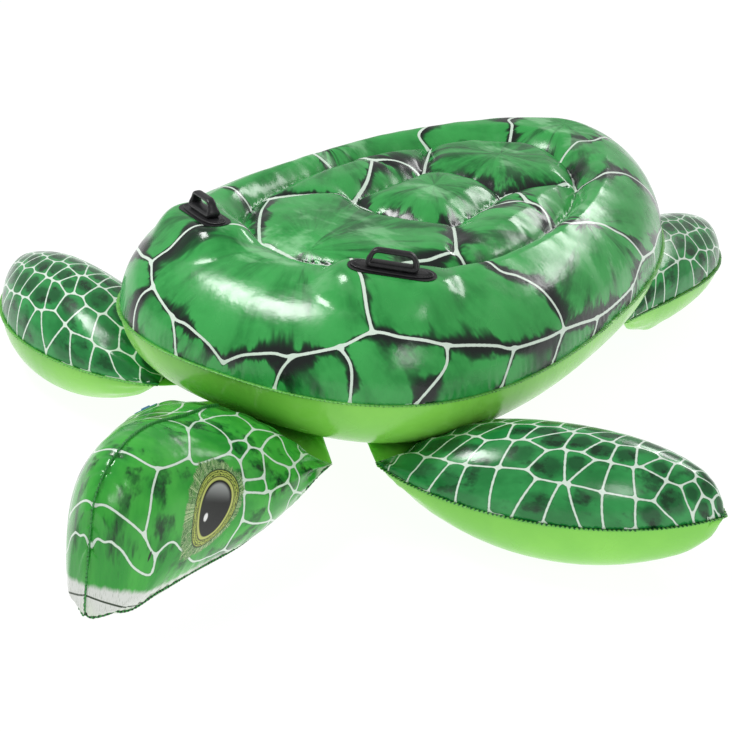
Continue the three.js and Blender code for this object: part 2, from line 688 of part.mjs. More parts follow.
function addValve(name, mesh, from, towards, color) {
  const frame = frameWhereLineMeets(mesh, from, towards);
  const [bore, rim, plate] = VALVE.flange;
  const [stemBore, stemRadius, stemLength] = VALVE.stem;
  const [plug, head, headPlate, plugLength] = VALVE.cap;
  const [flapRadius, flapPlate] = VALVE.flap;
  const hole = new THREE.CylinderGeometry(VALVE.hole, VALVE.hole, 30, 20).rotateX(Math.PI / 2);
  mesh.geometry = fromSolid(toSolid(mesh.geometry).subtract(toSolid(hole.applyMatrix4(frame))));
  const base = VALVE_LIFT;
  const stemTop = base + plate;
  const place = (geometry) => indexed(geometry).applyMatrix4(frame);
  const flange = lathe(ringOutline(bore, rim, base, base + plate));
  const stem = lathe(ringOutline(stemBore, stemRadius, stemTop - stemLength, stemTop));
  const capBase = stemTop + GAP;
  const capOutline = [
    [0, capBase - plugLength],
    [plug, capBase - plugLength],
    [plug, capBase],
    [head, capBase],
    [head, capBase + headPlate],
    [0, capBase + headPlate],
  ];
  const flapTop = stemTop - stemLength - GAP;
  const flapBase = flapTop - flapPlate;
  const flapOutline = [[0, flapBase], [flapRadius, flapBase], [flapRadius, flapTop], [0, flapTop]];
  addPiece(`${name}_valve_flange`, place(flange), film(color, 0.35));
  addPiece(`${name}_valve_stem`, place(stem), film(color, 0.35));
  addPiece(`${name}_valve_cap`, place(lathe(capOutline)), film(color, 0.3));
  addPiece(`${name}_valve_check_flap`, place(lathe(flapOutline)), film(CLEAR_FILM, 0.4));
}

const pieceNamed = (name) => float.getObjectByName(name);
const above = (x, y) => new THREE.Vector3(x, y, 2 * SHELL_TOP);
const below = (x, y) => new THREE.Vector3(x, y, -SHELL_TOP);
const UP = new THREE.Vector3(0, 0, 1);
const DOWN = new THREE.Vector3(0, 0, -1);

const TOWARDS_LEFT = new THREE.Vector3(1, 0, 0);
const SEAT_VALVE = [-58, 322];
const RING_VALVE = [-24, 548];
const HEAD_VALVE = [-SHELL_LENGTH, -700, 58]; // a point beside the right cheek
const FLIPPER_VALVES = [["front", 352, -420], ["rear", 196, 466]];

addValve("seat", shellTop, above(...SEAT_VALVE), DOWN, VALVE_BLUE);
addValve("ring", shellTop, above(...RING_VALVE), DOWN, VALVE_GREY);
const besideCheek = new THREE.Vector3(...HEAD_VALVE);
addValve("head", pieceNamed("head_right_panel"), besideCheek, TOWARDS_LEFT, VALVE_BLUE);
for (const [side, mirror] of [["left", 1], ["right", -1]]) {
  for (const [place, x, y] of FLIPPER_VALVES) {
    const flipper = `${place}_${side}_flipper`;
    addValve(flipper, pieceNamed(`${flipper}_bottom`), below(mirror * x, y), UP, VALVE_BLUE);
  }
}

export default float;
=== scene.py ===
"""The looks of an inflatable sea-turtle ride-on float: printed and lime PVC films welded into pillows, with
crimped seams, moulded handles and soft valves. Metres, +Z up, the head towards -Y, +X is the turtle's left."""

import json
import math

import bpy
import numpy as np
from mathutils import Matrix, Vector, kdtree
from mathutils.geometry import delaunay_2d_cdt


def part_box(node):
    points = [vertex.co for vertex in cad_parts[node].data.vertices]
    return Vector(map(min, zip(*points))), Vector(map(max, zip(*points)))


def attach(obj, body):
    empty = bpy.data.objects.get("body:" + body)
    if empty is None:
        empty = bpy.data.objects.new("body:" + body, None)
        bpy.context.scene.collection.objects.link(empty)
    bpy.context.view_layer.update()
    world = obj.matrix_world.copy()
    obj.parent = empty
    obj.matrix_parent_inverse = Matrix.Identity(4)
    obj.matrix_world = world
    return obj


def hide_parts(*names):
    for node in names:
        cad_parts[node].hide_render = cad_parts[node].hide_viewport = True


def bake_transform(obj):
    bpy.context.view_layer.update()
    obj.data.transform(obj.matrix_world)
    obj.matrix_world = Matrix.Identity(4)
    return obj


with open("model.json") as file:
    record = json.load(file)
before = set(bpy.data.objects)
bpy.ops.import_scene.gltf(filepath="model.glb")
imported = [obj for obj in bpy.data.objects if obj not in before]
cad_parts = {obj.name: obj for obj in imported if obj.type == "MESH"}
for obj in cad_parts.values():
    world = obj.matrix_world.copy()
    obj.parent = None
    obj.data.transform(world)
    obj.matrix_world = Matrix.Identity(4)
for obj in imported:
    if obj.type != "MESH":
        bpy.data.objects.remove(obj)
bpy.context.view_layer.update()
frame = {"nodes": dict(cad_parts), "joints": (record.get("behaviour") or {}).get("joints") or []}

# ---------------------------------------------------------------- driving dimensions
HALF_LENGTH = 0.631
HALF_WIDTH = 0.3955
TAPER = (-0.2026, 0.0383, -0.1167)  # width change along the length: linear, square, cube
ROUNDNESS = 2.33  # exponent of the superellipse
SHELL_TOP = 0.309
SEAM_HEIGHT = 0.134
TUBE = 0.19  # how far in from the seam the tube's quarter curves reach
TUBE_ARC = TUBE * math.pi / 2
FILM_GAP = 0.0006
FRONT_DIP = 0.018  # the ring is this much lower between the handles
FLOOR_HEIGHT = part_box("front_left_flipper_bottom")[0].z - 0.0015

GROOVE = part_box("ring_inner_wall")[1].z + 0.004  # the weld lines of the seat lie just over the wall strips
HINGE_HEIGHT = -0.0025
HINGE_GAP = 0.0016
LIMB_CLEARANCE = 0.005  # the limbs stay this far under the shell's tube


# ---------------------------------------------------------------- small maths
def smoothstep(x, low, high):
    t = np.clip((x - low) / (high - low), 0, 1)
    return t * t * (3 - 2 * t)


def soft_min(a, b, blend):
    share = np.clip(0.5 + 0.5 * (b - a) / blend, 0, 1)
    return b * (1 - share) + a * share - blend * share * (1 - share)


def profile(*pairs):
    """A smooth curve through (place, value) pairs: cubic pieces with the slopes of the neighbouring chords."""
    x, y = np.array(pairs, float).T
    last = len(x) - 1
    ahead = np.minimum(np.arange(last + 1) + 1, last)
    behind = np.maximum(np.arange(last + 1) - 1, 0)
    slope = (y[ahead] - y[behind]) / (x[ahead] - x[behind])

    def value(s):
        s = np.asarray(s, float)
        k = np.clip(np.searchsorted(x, s - 1e-9), 1, last)
        span = x[k] - x[k - 1]
        t = (s - x[k - 1]) / span
        from_left = (1 - t) ** 2 * ((1 + 2 * t) * y[k - 1] + t * span * slope[k - 1])
        return from_left + t**2 * ((3 - 2 * t) * y[k] - (1 - t) * span * slope[k])

    return value


def bezier(*points):
    p = np.array(points, float)

    def value(s):
        s = np.asarray(s, float)[..., None]
        return (1 - s) ** 3 * p[0] + 3 * s * (1 - s) ** 2 * p[1] + 3 * s * s * (1 - s) * p[2] + s**3 * p[3]

    return value


def resample(points, step, closed=False):
    """The points of a polyline, evenly spaced."""
    path = np.array(points, float)
    if closed:
        path = np.vstack([path, path[:1]])
    along = along_path(path)
    count = max(2, int(round(along[-1] / step)) + 1)
    at = np.linspace(0, along[-1], count)
    if closed:
        at = at[:-1]
    return np.stack([np.interp(at, along, path[:, k]) for k in range(path.shape[1])], axis=1)


def rounded(points, step=0.004, closed=False):
    """A polyline's points joined by a Catmull-Rom curve."""
    p = np.array(points, float)
    if closed:
        p = np.vstack([p[-1:], p, p[:2]])
    else:
        p = np.vstack([2 * p[:1] - p[1:2], p, 2 * p[-1:] - p[-2:-1]])
    curve = []
    for a, b, c, d in zip(p, p[1:], p[2:], p[3:]):
        for t in np.arange(0, 1, 0.1):
            bend = 2 * a - 5 * b + 4 * c - d
            curve.append(0.5 * (2 * b + (c - a) * t + bend * t**2 + (3 * (b - c) + d - a) * t**3))
    if not closed:
        curve.append(p[-2])
    return resample(curve, step, closed)


def mirrored(points):
    return [(-x, y) for x, y in points]


def unit(vectors):
    """Each row brought to length one."""
    return vectors / np.linalg.norm(vectors, axis=1)[:, None]


def along_path(path):
    """The length run at each point of a polyline."""
    return np.r_[0, np.cumsum(np.linalg.norm(np.diff(path, axis=0), axis=1))]


def tree_of(points):
    tree = kdtree.KDTree(len(points))
    for k, p in enumerate(points):
        tree.insert((p[0], p[1], p[2] if len(p) > 2 else 0.0), k)
    tree.balance()
    return tree


def nearest(tree, points):
    """(index, distance) of each point's nearest neighbour in the tree."""
    index = np.empty(len(points), int)
    distance = np.empty(len(points))
    for k, p in enumerate(points):
        _, index[k], distance[k] = tree.find((p[0], p[1], p[2] if len(p) > 2 else 0.0))
    return index, distance


def crimp(along, period, seed=0):
    """An uneven wave between about -1 and 1, for the gathers of a welded seam."""
    turn = 2 * math.pi * along / period
    drift = 1.3 * np.sin(turn * 0.13 + seed) + 0.9 * np.sin(turn * 0.071 + 2 * seed)
    swell = 0.65 + 0.35 * np.sin(turn * 0.19 + 3 * seed)
    return swell * (0.7 * np.sin(turn + drift) + 0.3 * np.sin(turn * 1.63 - drift))


# ---------------------------------------------------------------- the shell's rim and its flat print
def egg(angle, half_length, half_width):
    along = np.sign(np.sin(angle)) * np.abs(np.sin(angle)) ** (2 / ROUNDNESS)
    across = np.sign(np.cos(angle)) * np.abs(np.cos(angle)) ** (2 / ROUNDNESS)
    widening = 1 + TAPER[0] * along + TAPER[1] * along**2 + TAPER[2] * along**3
    return np.stack([half_width * across * widening, half_length * along], axis=1)


class Curve:
    """A closed plan curve that tells how far in a point lies, and which way out is."""

    def __init__(self, points):
        self.points = points
        self.tangent = unit(np.roll(points, -1, 0) - np.roll(points, 1, 0))
        self.outward = np.stack([self.tangent[:, 1], -self.tangent[:, 0]], axis=1)
        self.spacing = np.linalg.norm(points[1] - points[0])
        self.tree = tree_of(points)

    def locate(self, points):
        """(place along, depth inwards, outward direction) of each point."""
        index, _ = nearest(self.tree, points)
        offset = points - self.points[index]
        slide = (offset * self.tangent[index]).sum(1) / self.spacing
        step = np.where(slide > 0, 1, -1)
        other = (index + step) % len(self.points)
        share = np.clip(np.abs(slide), 0, 1)[:, None]
        outward = self.outward[index] * (1 - share) + self.outward[other] * share
        outward = unit(outward)
        depth = -(offset * self.outward[index]).sum(1)
        return (index + slide) * self.spacing, depth, outward


RIM_POINTS = 1400
fine_rim = egg(np.linspace(0, 2 * math.pi, 6000, endpoint=False), HALF_LENGTH, HALF_WIDTH)
rim_length = np.linalg.norm(np.diff(np.vstack([fine_rim, fine_rim[:1]]), axis=0), axis=1).sum()
RIM = Curve(resample(fine_rim, rim_length / RIM_POINTS, closed=True))
# The print lies flat inside this curve: the tube's quarter is as wide here as its arc is long.
FLAT_RIM = Curve(resample(RIM.points + RIM.outward * (TUBE_ARC - TUBE), 0.0028, closed=True))


def plan_of_print(flat):
    """(plan place, turn round the tube, place along the rim, outward) of points of the flat print."""
    along, depth, outward = FLAT_RIM.locate(flat)
    turn = np.clip(depth / TUBE, 0, math.pi / 2)
    plan = flat + outward * (TUBE * np.cos(turn) - TUBE * (math.pi / 2 - turn))[:, None]
    return plan, turn, along, outward, np.maximum(depth, 0)


# The turtle's left half of the weld round the seat; the right half mirrors it.
SEAT_LOOP = [
    (0.0, -0.412),
    (0.06, -0.402),
    (0.108, -0.392),
    (0.175, -0.345),
    (0.232, -0.262),
    (0.252, -0.16),
    (0.25, -0.03),
    (0.228, 0.1),
    (0.172, 0.238),
    (0.115, 0.318),
    (0.057, 0.366),
]
# Welds between the seat's pads: how much of the full depth, how far the pads slope, and the line.
SEAT_WELDS = [
    (1.0, 0.1, [(0.108, -0.105), (0.055, -0.132), (0.0, -0.138)]),
    (0.95, 0.095, [(0.108, -0.105), (0.1, -0.01), (0.09, 0.1)]),
    (1.0, 0.1, [(0.09, 0.1), (0.045, 0.126), (0.0, 0.134)]),
    (0.85, 0.09, [(0.09, 0.1), (0.125, 0.165), (0.172, 0.238)]),
    (0.5, 0.06, [(0.108, -0.105), (0.155, -0.168), (0.2, -0.235), (0.238, -0.25)]),
    (0.35, 0.05, [(0.1, 0.06), (0.178, 0.048), (0.245, 0.012)]),
]


SEAT_END = (0.0, 0.382)
LINE_STEP = 0.004
LOOP_REACH = 0.1  # the film slopes this far on both sides of the seat's loop
PAD_HEIGHT = SHELL_TOP - 0.004
LOOP = Curve(rounded([*SEAT_LOOP, SEAT_END, *mirrored(SEAT_LOOP[:0:-1])], LINE_STEP, closed=True))


def seat_welds():
    for share, reach, points in SEAT_WELDS:
        for side in (points, mirrored(points)):
            yield share, reach, rounded(side, LINE_STEP)


def shoulder(distance, reach):
    """The rise of a pillow away from its weld, from 0 to 1: steep at the weld, level at the reach."""
    t = np.clip(distance / reach, 0, 1)
    return (1 - (1 - t) ** 2) ** 0.66


def shell_top_height(plan, turn):
    """The top film's height in plan: the ring's tube, pulled down by the welds round and across the seat."""
    front = np.exp(-((plan[:, 0] / 0.16) ** 2)) * smoothstep(-plan[:, 1], 0.28, 0.4)
    top = SHELL_TOP - FRONT_DIP * front
    height = SEAM_HEIGHT + (top - SEAM_HEIGHT) * np.sin(turn)
    _, depth, _ = LOOP.locate(plan)
    _, distance = nearest(LOOP.tree, plan)
    crown = np.where(depth > 0, PAD_HEIGHT, top + 0.004)
    low = GROOVE - 0.006 + 0.014 * front
    height = soft_min(height, low + (crown - low) * shoulder(distance, LOOP_REACH), 0.012)
    for share, reach, line in seat_welds():
        _, distance = nearest(tree_of(line), plan)
        low = PAD_HEIGHT - share * (PAD_HEIGHT - GROOVE)
        height = soft_min(height, low + (PAD_HEIGHT - low) * shoulder(distance, reach), 0.008)
    return height


# ---------------------------------------------------------------- cutting flat film along its print lines
def inside(polygon, points):
    """Whether each point lies within a closed polygon."""
    after = np.roll(polygon, -1, 0)
    run = after[:, 0] - polygon[:, 0]
    rise = after[:, 1] - polygon[:, 1]
    rise[rise == 0] = 1e-12
    result = np.zeros(len(points), bool)
    for part in np.array_split(np.arange(len(points)), len(points) // 2000 + 1):
        x = points[part, 0][:, None]
        y = points[part, 1][:, None]
        crosses = (polygon[:, 1] > y) != (after[:, 1] > y)
        at = polygon[:, 0] + (y - polygon[:, 1]) * run / rise
        result[part] = (crosses & (x < at)).sum(1) % 2 == 1
    return result


def clipped(line, polygon):
    """The runs of a line inside a polygon, each with one more point past a cut end."""
    within = inside(polygon, line)
    keep = within.copy()
    keep[1:] |= within[:-1]
    keep[:-1] |= within[1:]
    cuts = np.flatnonzero(np.diff(keep.astype(int))) + 1
    pieces = zip(np.split(line, cuts), np.split(keep, cuts))
    return [run for run, kept in pieces if kept[0] and len(run) > 1]


def hex_grid(polygon, step):
    low, high = polygon.min(0), polygon.max(0)
    rows = np.arange(low[1], high[1], step * 0.866)
    columns = np.arange(low[0], high[0] + step, step)
    x = columns[None, :] + np.where(np.arange(len(rows)) % 2, step / 2, 0)[:, None]
    y = np.repeat(rows[:, None], len(columns), 1)
    return np.stack([x.ravel(), y.ravel()], axis=1)


def cells_of(faces, walls):
    """The print cell each face lies in: a cell is bounded by walls, which are mesh edges."""
    owners = {}
    for k, (a, b, c) in enumerate(faces):
        for edge in ((a, b), (b, c), (c, a)):
            owners.setdefault((min(edge), max(edge)), []).append(k)
    beside = [[] for _ in faces]
    for edge, pair in owners.items():
        if len(pair) == 2 and edge not in walls:
            beside[pair[0]].append(pair[1])
            beside[pair[1]].append(pair[0])
    cell = np.full(len(faces), -1)
    count = 0
    for start in range(len(faces)):
        if cell[start] >= 0:
            continue
        cell[start] = count
        waiting = [start]
        while waiting:
            for k in beside[waiting.pop()]:
                if cell[k] < 0:
                    cell[k] = count
                    waiting.append(k)
        count += 1
    return cell


class Film:
    """A flat film cut inside a border. Its mesh has edges along the print lines, and it knows, for the print,
    how far each point is from the nearest line and where in its cell each face corner lies."""

    def __init__(self, border, lines, step, pen):
        points = [tuple(p) for p in border]
        count = len(points)
        edges = [(k, (k + 1) % count) for k in range(count)]
        drawn = [run for line in lines for run in clipped(line, border)]
        for run in drawn:
            first = len(points)
            points.extend(tuple(p) for p in run)
            edges.extend((k, k + 1) for k in range(first, len(points) - 1))
        grid = hex_grid(border, step)
        grid = grid[inside(border, grid)]
        _, gap = nearest(tree_of(points), grid)
        points.extend(tuple(p) for p in grid[gap > 0.6 * step])
        flat_points = [Vector(p) for p in points]
        cut = delaunay_2d_cdt(flat_points, edges, [list(range(count))], 1, 1e-6, True)
        self.flat = np.array([(p.x, p.y) for p in cut[0]])
        self.faces = np.array(cut[2])
        walls = {(min(e), max(e)) for e, origin in zip(cut[1], cut[4]) if origin}
        self.drawn = drawn
        self.pen = pen
        self.edge = np.full(len(self.flat), 0.1)
        self.line = np.full(len(self.flat), 0.1)
        if drawn:
            self.measure(lambda flat: flat)
        self.cell = cells_of(self.faces.tolist(), walls)
        self.read_cells()

    def measure(self, place):
        """Each point's way to the nearest print line, once the film is put in place."""
        points = place(self.flat)
        ink = place(np.vstack([resample(run, 0.0012) for run in self.drawn]))
        _, self.edge = nearest(tree_of(ink), points)
        corners = place(np.array([p for run in self.drawn for p in (run[0], run[-1])]))
        _, corner = nearest(tree_of(corners), points)
        self.line = self.edge - self.pen * (1 + 1.1 * np.exp(-((corner / (2.4 * self.pen)) ** 2)))

    def read_cells(self):
        corner = self.flat[self.faces]
        side, other = corner[:, 1] - corner[:, 0], corner[:, 2] - corner[:, 0]
        area = np.abs(side[:, 0] * other[:, 1] - side[:, 1] * other[:, 0]) / 2 + 1e-12
        total = np.bincount(self.cell, area)
        weighted = corner.mean(1) * area[:, None]
        middle = np.stack([np.bincount(self.cell, weighted[:, k]) / total for k in (0, 1)], axis=1)
        offset = corner - middle[self.cell][:, None, :]
        radius = np.linalg.norm(offset, axis=2)
        size = np.sqrt(total[self.cell] / math.pi)[:, None]
        direction = offset / np.maximum(radius, 1e-6)[:, :, None]
        self.fan = np.concatenate([direction, (radius / size)[:, :, None]], axis=2)
        self.tint = np.random.default_rng(5).random(len(total))[self.cell]
        self.size = size[:, 0]


def add_piece(name, points, faces, smooth=True):
    """A new mesh object in the scene."""
    mesh = bpy.data.meshes.new(name)
    mesh.from_pydata(np.asarray(points).tolist(), [], faces)
    if smooth:
        mesh.shade_smooth()
    piece = bpy.data.objects.new(name, mesh)
    bpy.context.scene.collection.objects.link(piece)
    return piece


def write_mark(piece, name, values, domain="POINT"):
    """Numbers or vectors kept on a mesh for its material to read."""
    vector = values.shape[-1] == 3 and values.ndim > 1
    layer = piece.data.attributes.new(name, "FLOAT_VECTOR" if vector else "FLOAT", domain)
    layer.data.foreach_set("vector" if vector else "value", values.astype(np.float32).ravel())


def film_piece(name, film, points, marks=None):
    """A mesh piece from a cut film, with its print marks as attributes."""
    piece = add_piece(name, points, film.faces.tolist())
    flat = np.column_stack([film.flat, np.zeros(len(film.flat))])
    for key, values in {"edge": film.edge, "line": film.line, **(marks or {}), "flat": flat}.items():
        write_mark(piece, key, values)
    write_mark(piece, "fan", film.fan, "CORNER")
    write_mark(piece, "tint", film.tint, "FACE")
    write_mark(piece, "size", film.size, "FACE")
    return piece


def finish_piece(piece, body, slot, material, *nodes):
    piece.data.materials.append(material)
    if body:
        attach(piece, body)
    if nodes:
        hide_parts(*nodes)
    return piece


# ---------------------------------------------------------------- settling a film under its valve
VALVE_REST = 0.0004  # the film lies this far under the flange
VALVE_HOLE = 0.0095


class Valve:
    """The lie of a chamber's valve: its axis, centre and the level of the film under it."""

    def __init__(self, chamber):
        joint = next(j for j in frame["joints"] if j["name"] == f"{chamber}_valve_stem_pull")
        self.axis = np.array(joint["axis"], float)
        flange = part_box(f"{chamber}_valve_flange")
        vertices = np.array([v.co for v in frame["nodes"][f"{chamber}_valve_flange"].data.vertices])
        self.centre = (np.array(flange[0]) + np.array(flange[1])) / 2
        self.level = ((vertices - self.centre) @ self.axis).min() - VALVE_REST

    def measure(self, points):
        """(height along the valve's axis, distance from it) of each point."""
        offset = points - self.centre
        height = offset @ self.axis
        return height, np.linalg.norm(offset - height[:, None] * self.axis, axis=1)

    def settle(self, points):
        """The film's points, drawn onto the plane just under the flange."""
        height, radius = self.measure(points)
        near = np.abs(height) < 0.04
        share = np.where(near, 1 - smoothstep(radius, 0.022, 0.062), 0)
        return points + (share * (self.level - height))[:, None] * self.axis

    def open_faces(self, points, faces):
        """Which faces stay when the stem's hole is cut."""
        height, radius = self.measure(points[faces].mean(1))
        return (radius > VALVE_HOLE) | (np.abs(height) > 0.03)


class Plate:
    """The lie of a flat moulding: its centre, long way, cross way, normal and underside."""

    def __init__(self, node):
        vertices = np.array([v.co for v in frame["nodes"][node].data.vertices])
        self.centre = (vertices.max(0) + vertices.min(0)) / 2
        _, _, ways = np.linalg.svd(vertices - vertices.mean(0), full_matrices=False)
        self.long, self.normal = ways[0], ways[2] * np.sign(ways[2][2])
        self.across = np.cross(self.normal, self.long)
        heights = (vertices - self.centre) @ self.normal
        self.low, self.high = heights.min(), heights.max()
        self.half_length = np.abs((vertices - self.centre) @ self.long).max()
        self.half_depth = np.abs((vertices - self.centre) @ self.across).max()

    def place(self, u, v, w):
        """Points given along, across and above the plate's upper face."""
        spread = u[:, None] * self.long + v[:, None] * self.across
        return self.centre + spread + (self.high + w)[:, None] * self.normal

    def settle(self, points):
        offset = points - self.centre
        height = offset @ self.normal
        straight = self.half_length - self.half_depth
        past = np.maximum(np.abs(offset @ self.long) - straight, 0)
        distance = np.hypot(past, offset @ self.across)
        near = np.abs(height) < 0.06
        share = np.where(near, 1 - smoothstep(distance, self.half_depth + 0.003, 0.085), 0)
        return points + (share * (self.low - VALVE_REST - height))[:, None] * self.normal


def settled(film, points, *chambers):
    """The points drawn under each chamber's valve, with the stem's hole cut out of the film."""
    for chamber in chambers:
        valve = Valve(chamber)
        points = valve.settle(points)
        keep = valve.open_faces(points, film.faces)
        film.faces, film.fan = film.faces[keep], film.fan[keep]
        film.tint, film.size = film.tint[keep], film.size[keep]
    return points


# ---------------------------------------------------------------- the node graphs of the films
def linear(red, green, blue):
    """An sRGB colour of 0-255 as linear RGBA."""
    dark = [c / 3294.6 for c in (red, green, blue)]
    curved = [((c / 255 + 0.055) / 1.055) ** 2.4 for c in (red, green, blue)]
    return tuple(a if c <= 10 else b for a, b, c in zip(dark, curved, (red, green, blue))) + (1,)


class Graph:
    """A procedural material, put together node by node."""

    def __init__(self, name):
        self.material = bpy.data.materials.new(name)
        self.material.use_nodes = True
        self.tree = self.material.node_tree
        self.tree.nodes.clear()

    def node(self, kind, *inputs, **settings):
        node = self.tree.nodes.new("ShaderNode" + kind)
        for key, value in settings.items():
            setattr(node, key, value)
        for socket, value in zip(node.inputs, inputs):
            self.join(socket, value)
        return node

    def join(self, socket, value):
        if isinstance(value, bpy.types.NodeSocket):
            self.tree.links.new(value, socket)
        else:
            socket.default_value = value

    def mark(self, name, output="Fac"):
        return self.node("Attribute", attribute_name=name).outputs[output]

    def math(self, operation, *values):
        return self.node("Math", *values, operation=operation).outputs[0]

    def smooth(self, value, low, high, to_low=0.0, to_high=1.0):
        node = self.node("MapRange", value, interpolation_type="SMOOTHSTEP")
        for socket, limit in zip(node.inputs[1:5], (low, high, to_low, to_high)):
            self.join(socket, limit)
        return node.outputs[0]

    def stretched(self, vector, x, y, z):
        return self.node("VectorMath", vector, (x, y, z), operation="MULTIPLY").outputs[0]

    def noise(self, vector, scale, detail=3.0, roughness=0.55):
        node = self.node("TexNoise")
        self.join(node.inputs["Vector"], vector)
        self.join(node.inputs["Scale"], scale)
        self.join(node.inputs["Detail"], detail)
        self.join(node.inputs["Roughness"], roughness)
        return node.outputs["Fac"]

    def mix(self, share, a, b):
        node = self.node("Mix", data_type="RGBA")
        self.join(node.inputs[0], share)
        self.join(node.inputs[6], a)
        self.join(node.inputs[7], b)
        return node.outputs[2]

    def finish(self, colour, roughness, height, depth, strength=0.5, alpha=1.0):
        shader = self.node("BsdfPrincipled")
        bump = self.node("Bump")
        self.join(bump.inputs["Strength"], strength)
        self.join(bump.inputs["Distance"], depth)
        self.join(bump.inputs["Height"], height)
        values = {"Base Color": colour, "Roughness": roughness, "Normal": bump.outputs[0], "Alpha": alpha}
        for key, value in values.items():
            self.join(shader.inputs[key], value)
        output = self.node("OutputMaterial")
        self.tree.links.new(shader.outputs[0], output.inputs[0])
        return self.material


def film_skin(graph, vector):
    """The fine unevenness of stretched vinyl: (height, roughness)."""
    ripple = graph.noise(vector, 55.0, 3.0)
    grain = graph.noise(vector, 420.0, 2.0)
    height = graph.math("MULTIPLY_ADD", grain, 0.06, ripple)
    return height, graph.smooth(graph.noise(vector, 17.0, 2.0), 0.3, 0.7, 0.14, 0.28)


def print_ink(graph, palette, reach, streak_count, glow):
    """The inked look of a cell: brushed dark edges that run inwards, a lit middle and mottled greens."""
    deep, dark, mid, light, shine = [linear(*c) for c in palette]
    flat, tint, edge = graph.mark("flat", "Vector"), graph.mark("tint"), graph.mark("edge")
    parts = graph.node("SeparateXYZ", graph.mark("fan", "Vector")).outputs
    shift = graph.math("MULTIPLY", tint, 41.0)
    around = graph.node("CombineXYZ", parts[0], parts[1], graph.math("MULTIPLY_ADD", parts[2], 0.35, shift))
    streak = graph.noise(around.outputs[0], streak_count, 4.0, 0.62)
    cloud = graph.noise(flat, 9.0, 3.0)
    fleck = graph.noise(flat, 60.0, 3.0)
    colour = graph.mix(graph.smooth(cloud, 0.32, 0.68), mid, light)
    colour = graph.mix(graph.math("MULTIPLY", tint, 0.35), colour, dark)
    colour = graph.mix(graph.smooth(fleck, 0.45, 0.75, 0.0, 0.4), colour, light)
    colour = graph.mix(graph.smooth(streak, 0.46, 0.62, 0.0, 0.6), colour, light)
    colour = graph.mix(graph.smooth(streak, 0.48, 0.32, 0.0, 0.75), colour, dark)
    length = graph.smooth(streak, 0.62, 0.36, 0.25 * reach, 1.7 * reach)
    patch = graph.smooth(graph.noise(flat, 6.5, 2.0), 0.36, 0.62, 0.25, 1.2)
    depth_in = graph.math("DIVIDE", edge, graph.math("MULTIPLY", length, patch))
    colour = graph.mix(graph.smooth(depth_in, 1.35, 0.55), colour, dark)
    colour = graph.mix(graph.smooth(depth_in, 0.95, 0.3), colour, deep)
    gleam = graph.noise(graph.stretched(flat, 5.0, 9.0, 1.0), 1.6, 4.0, 0.6)
    middle = graph.smooth(parts[2], 0.8, 0.2)
    lit = graph.math("MULTIPLY", middle, graph.smooth(gleam, 0.5, 0.64, 0.0, glow))
    return graph.mix(lit, colour, shine)


LINE_WHITE = linear(226, 243, 228)
LINE_SOFTNESS = 0.0006


def lined(graph, ink):
    """(colour, line mask) of an ink with the print's white lines over it."""
    mask = graph.smooth(graph.mark("line"), LINE_SOFTNESS, -LINE_SOFTNESS)
    return graph.mix(mask, ink, LINE_WHITE), mask


def finish_print(graph, colour, mask):
    """A printed film's material; the lines' ink stands up a little."""
    height, roughness = film_skin(graph, graph.mark("flat", "Vector"))
    height = graph.math("MULTIPLY_ADD", mask, 0.12, height)
    return graph.finish(colour, roughness, height, 0.0012, 0.35)


def printed_film(name, palette, reach, streak_count, glow):
    graph = Graph(name)
    return finish_print(graph, *lined(graph, print_ink(graph, palette, reach, streak_count, glow)))


def blotched_ink(graph, palette):
    """Scales with a dark mottled middle and a bright margin; on the big face scales the mottles lie loose."""
    deep, dark, mid, light, _ = [linear(*c) for c in palette]
    flat = graph.mark("flat", "Vector")
    parts = graph.node("SeparateXYZ", graph.mark("fan", "Vector")).outputs
    cloud = graph.noise(flat, 14.0, 3.0)
    mottle = graph.noise(flat, 34.0, 5.0, 0.62)
    colour = graph.mix(graph.smooth(cloud, 0.35, 0.65), mid, light)
    small = graph.smooth(graph.mark("size"), 0.035, 0.024)
    big_spots = graph.smooth(graph.noise(flat, 13.0, 4.0, 0.6), 0.52, 0.62)
    middle = graph.smooth(graph.math("MULTIPLY_ADD", mottle, -0.9, parts[2]), 0.42, 0.02)
    share = graph.node("Mix", small, data_type="FLOAT")
    graph.join(share.inputs[2], graph.math("MULTIPLY", big_spots, graph.smooth(mottle, 0.3, 0.5)))
    graph.join(share.inputs[3], middle)
    colour = graph.mix(graph.math("MULTIPLY", share.outputs[0], 0.85), colour, dark)
    colour = graph.mix(graph.math("MULTIPLY", share.outputs[0], graph.smooth(mottle, 0.5, 0.62)), colour, deep)
    rim = graph.smooth(graph.mark("line"), 0.0016, 0.0)
    return graph.mix(graph.math("MULTIPLY", rim, 0.5), colour, dark)


def scaly_film(name, palette):
    graph = Graph(name)
    return finish_print(graph, *lined(graph, blotched_ink(graph, palette)))


def object_place(graph):
    return graph.node("TexCoord").outputs["Object"]


def plain_film(name, colour, darker):
    graph = Graph(name)
    place = object_place(graph)
    height, roughness = film_skin(graph, place)
    shade = graph.smooth(graph.noise(place, 5.0, 4.0), 0.3, 0.72)
    return graph.finish(graph.mix(shade, linear(*colour), linear(*darker)), roughness, height, 0.0011, 0.35)


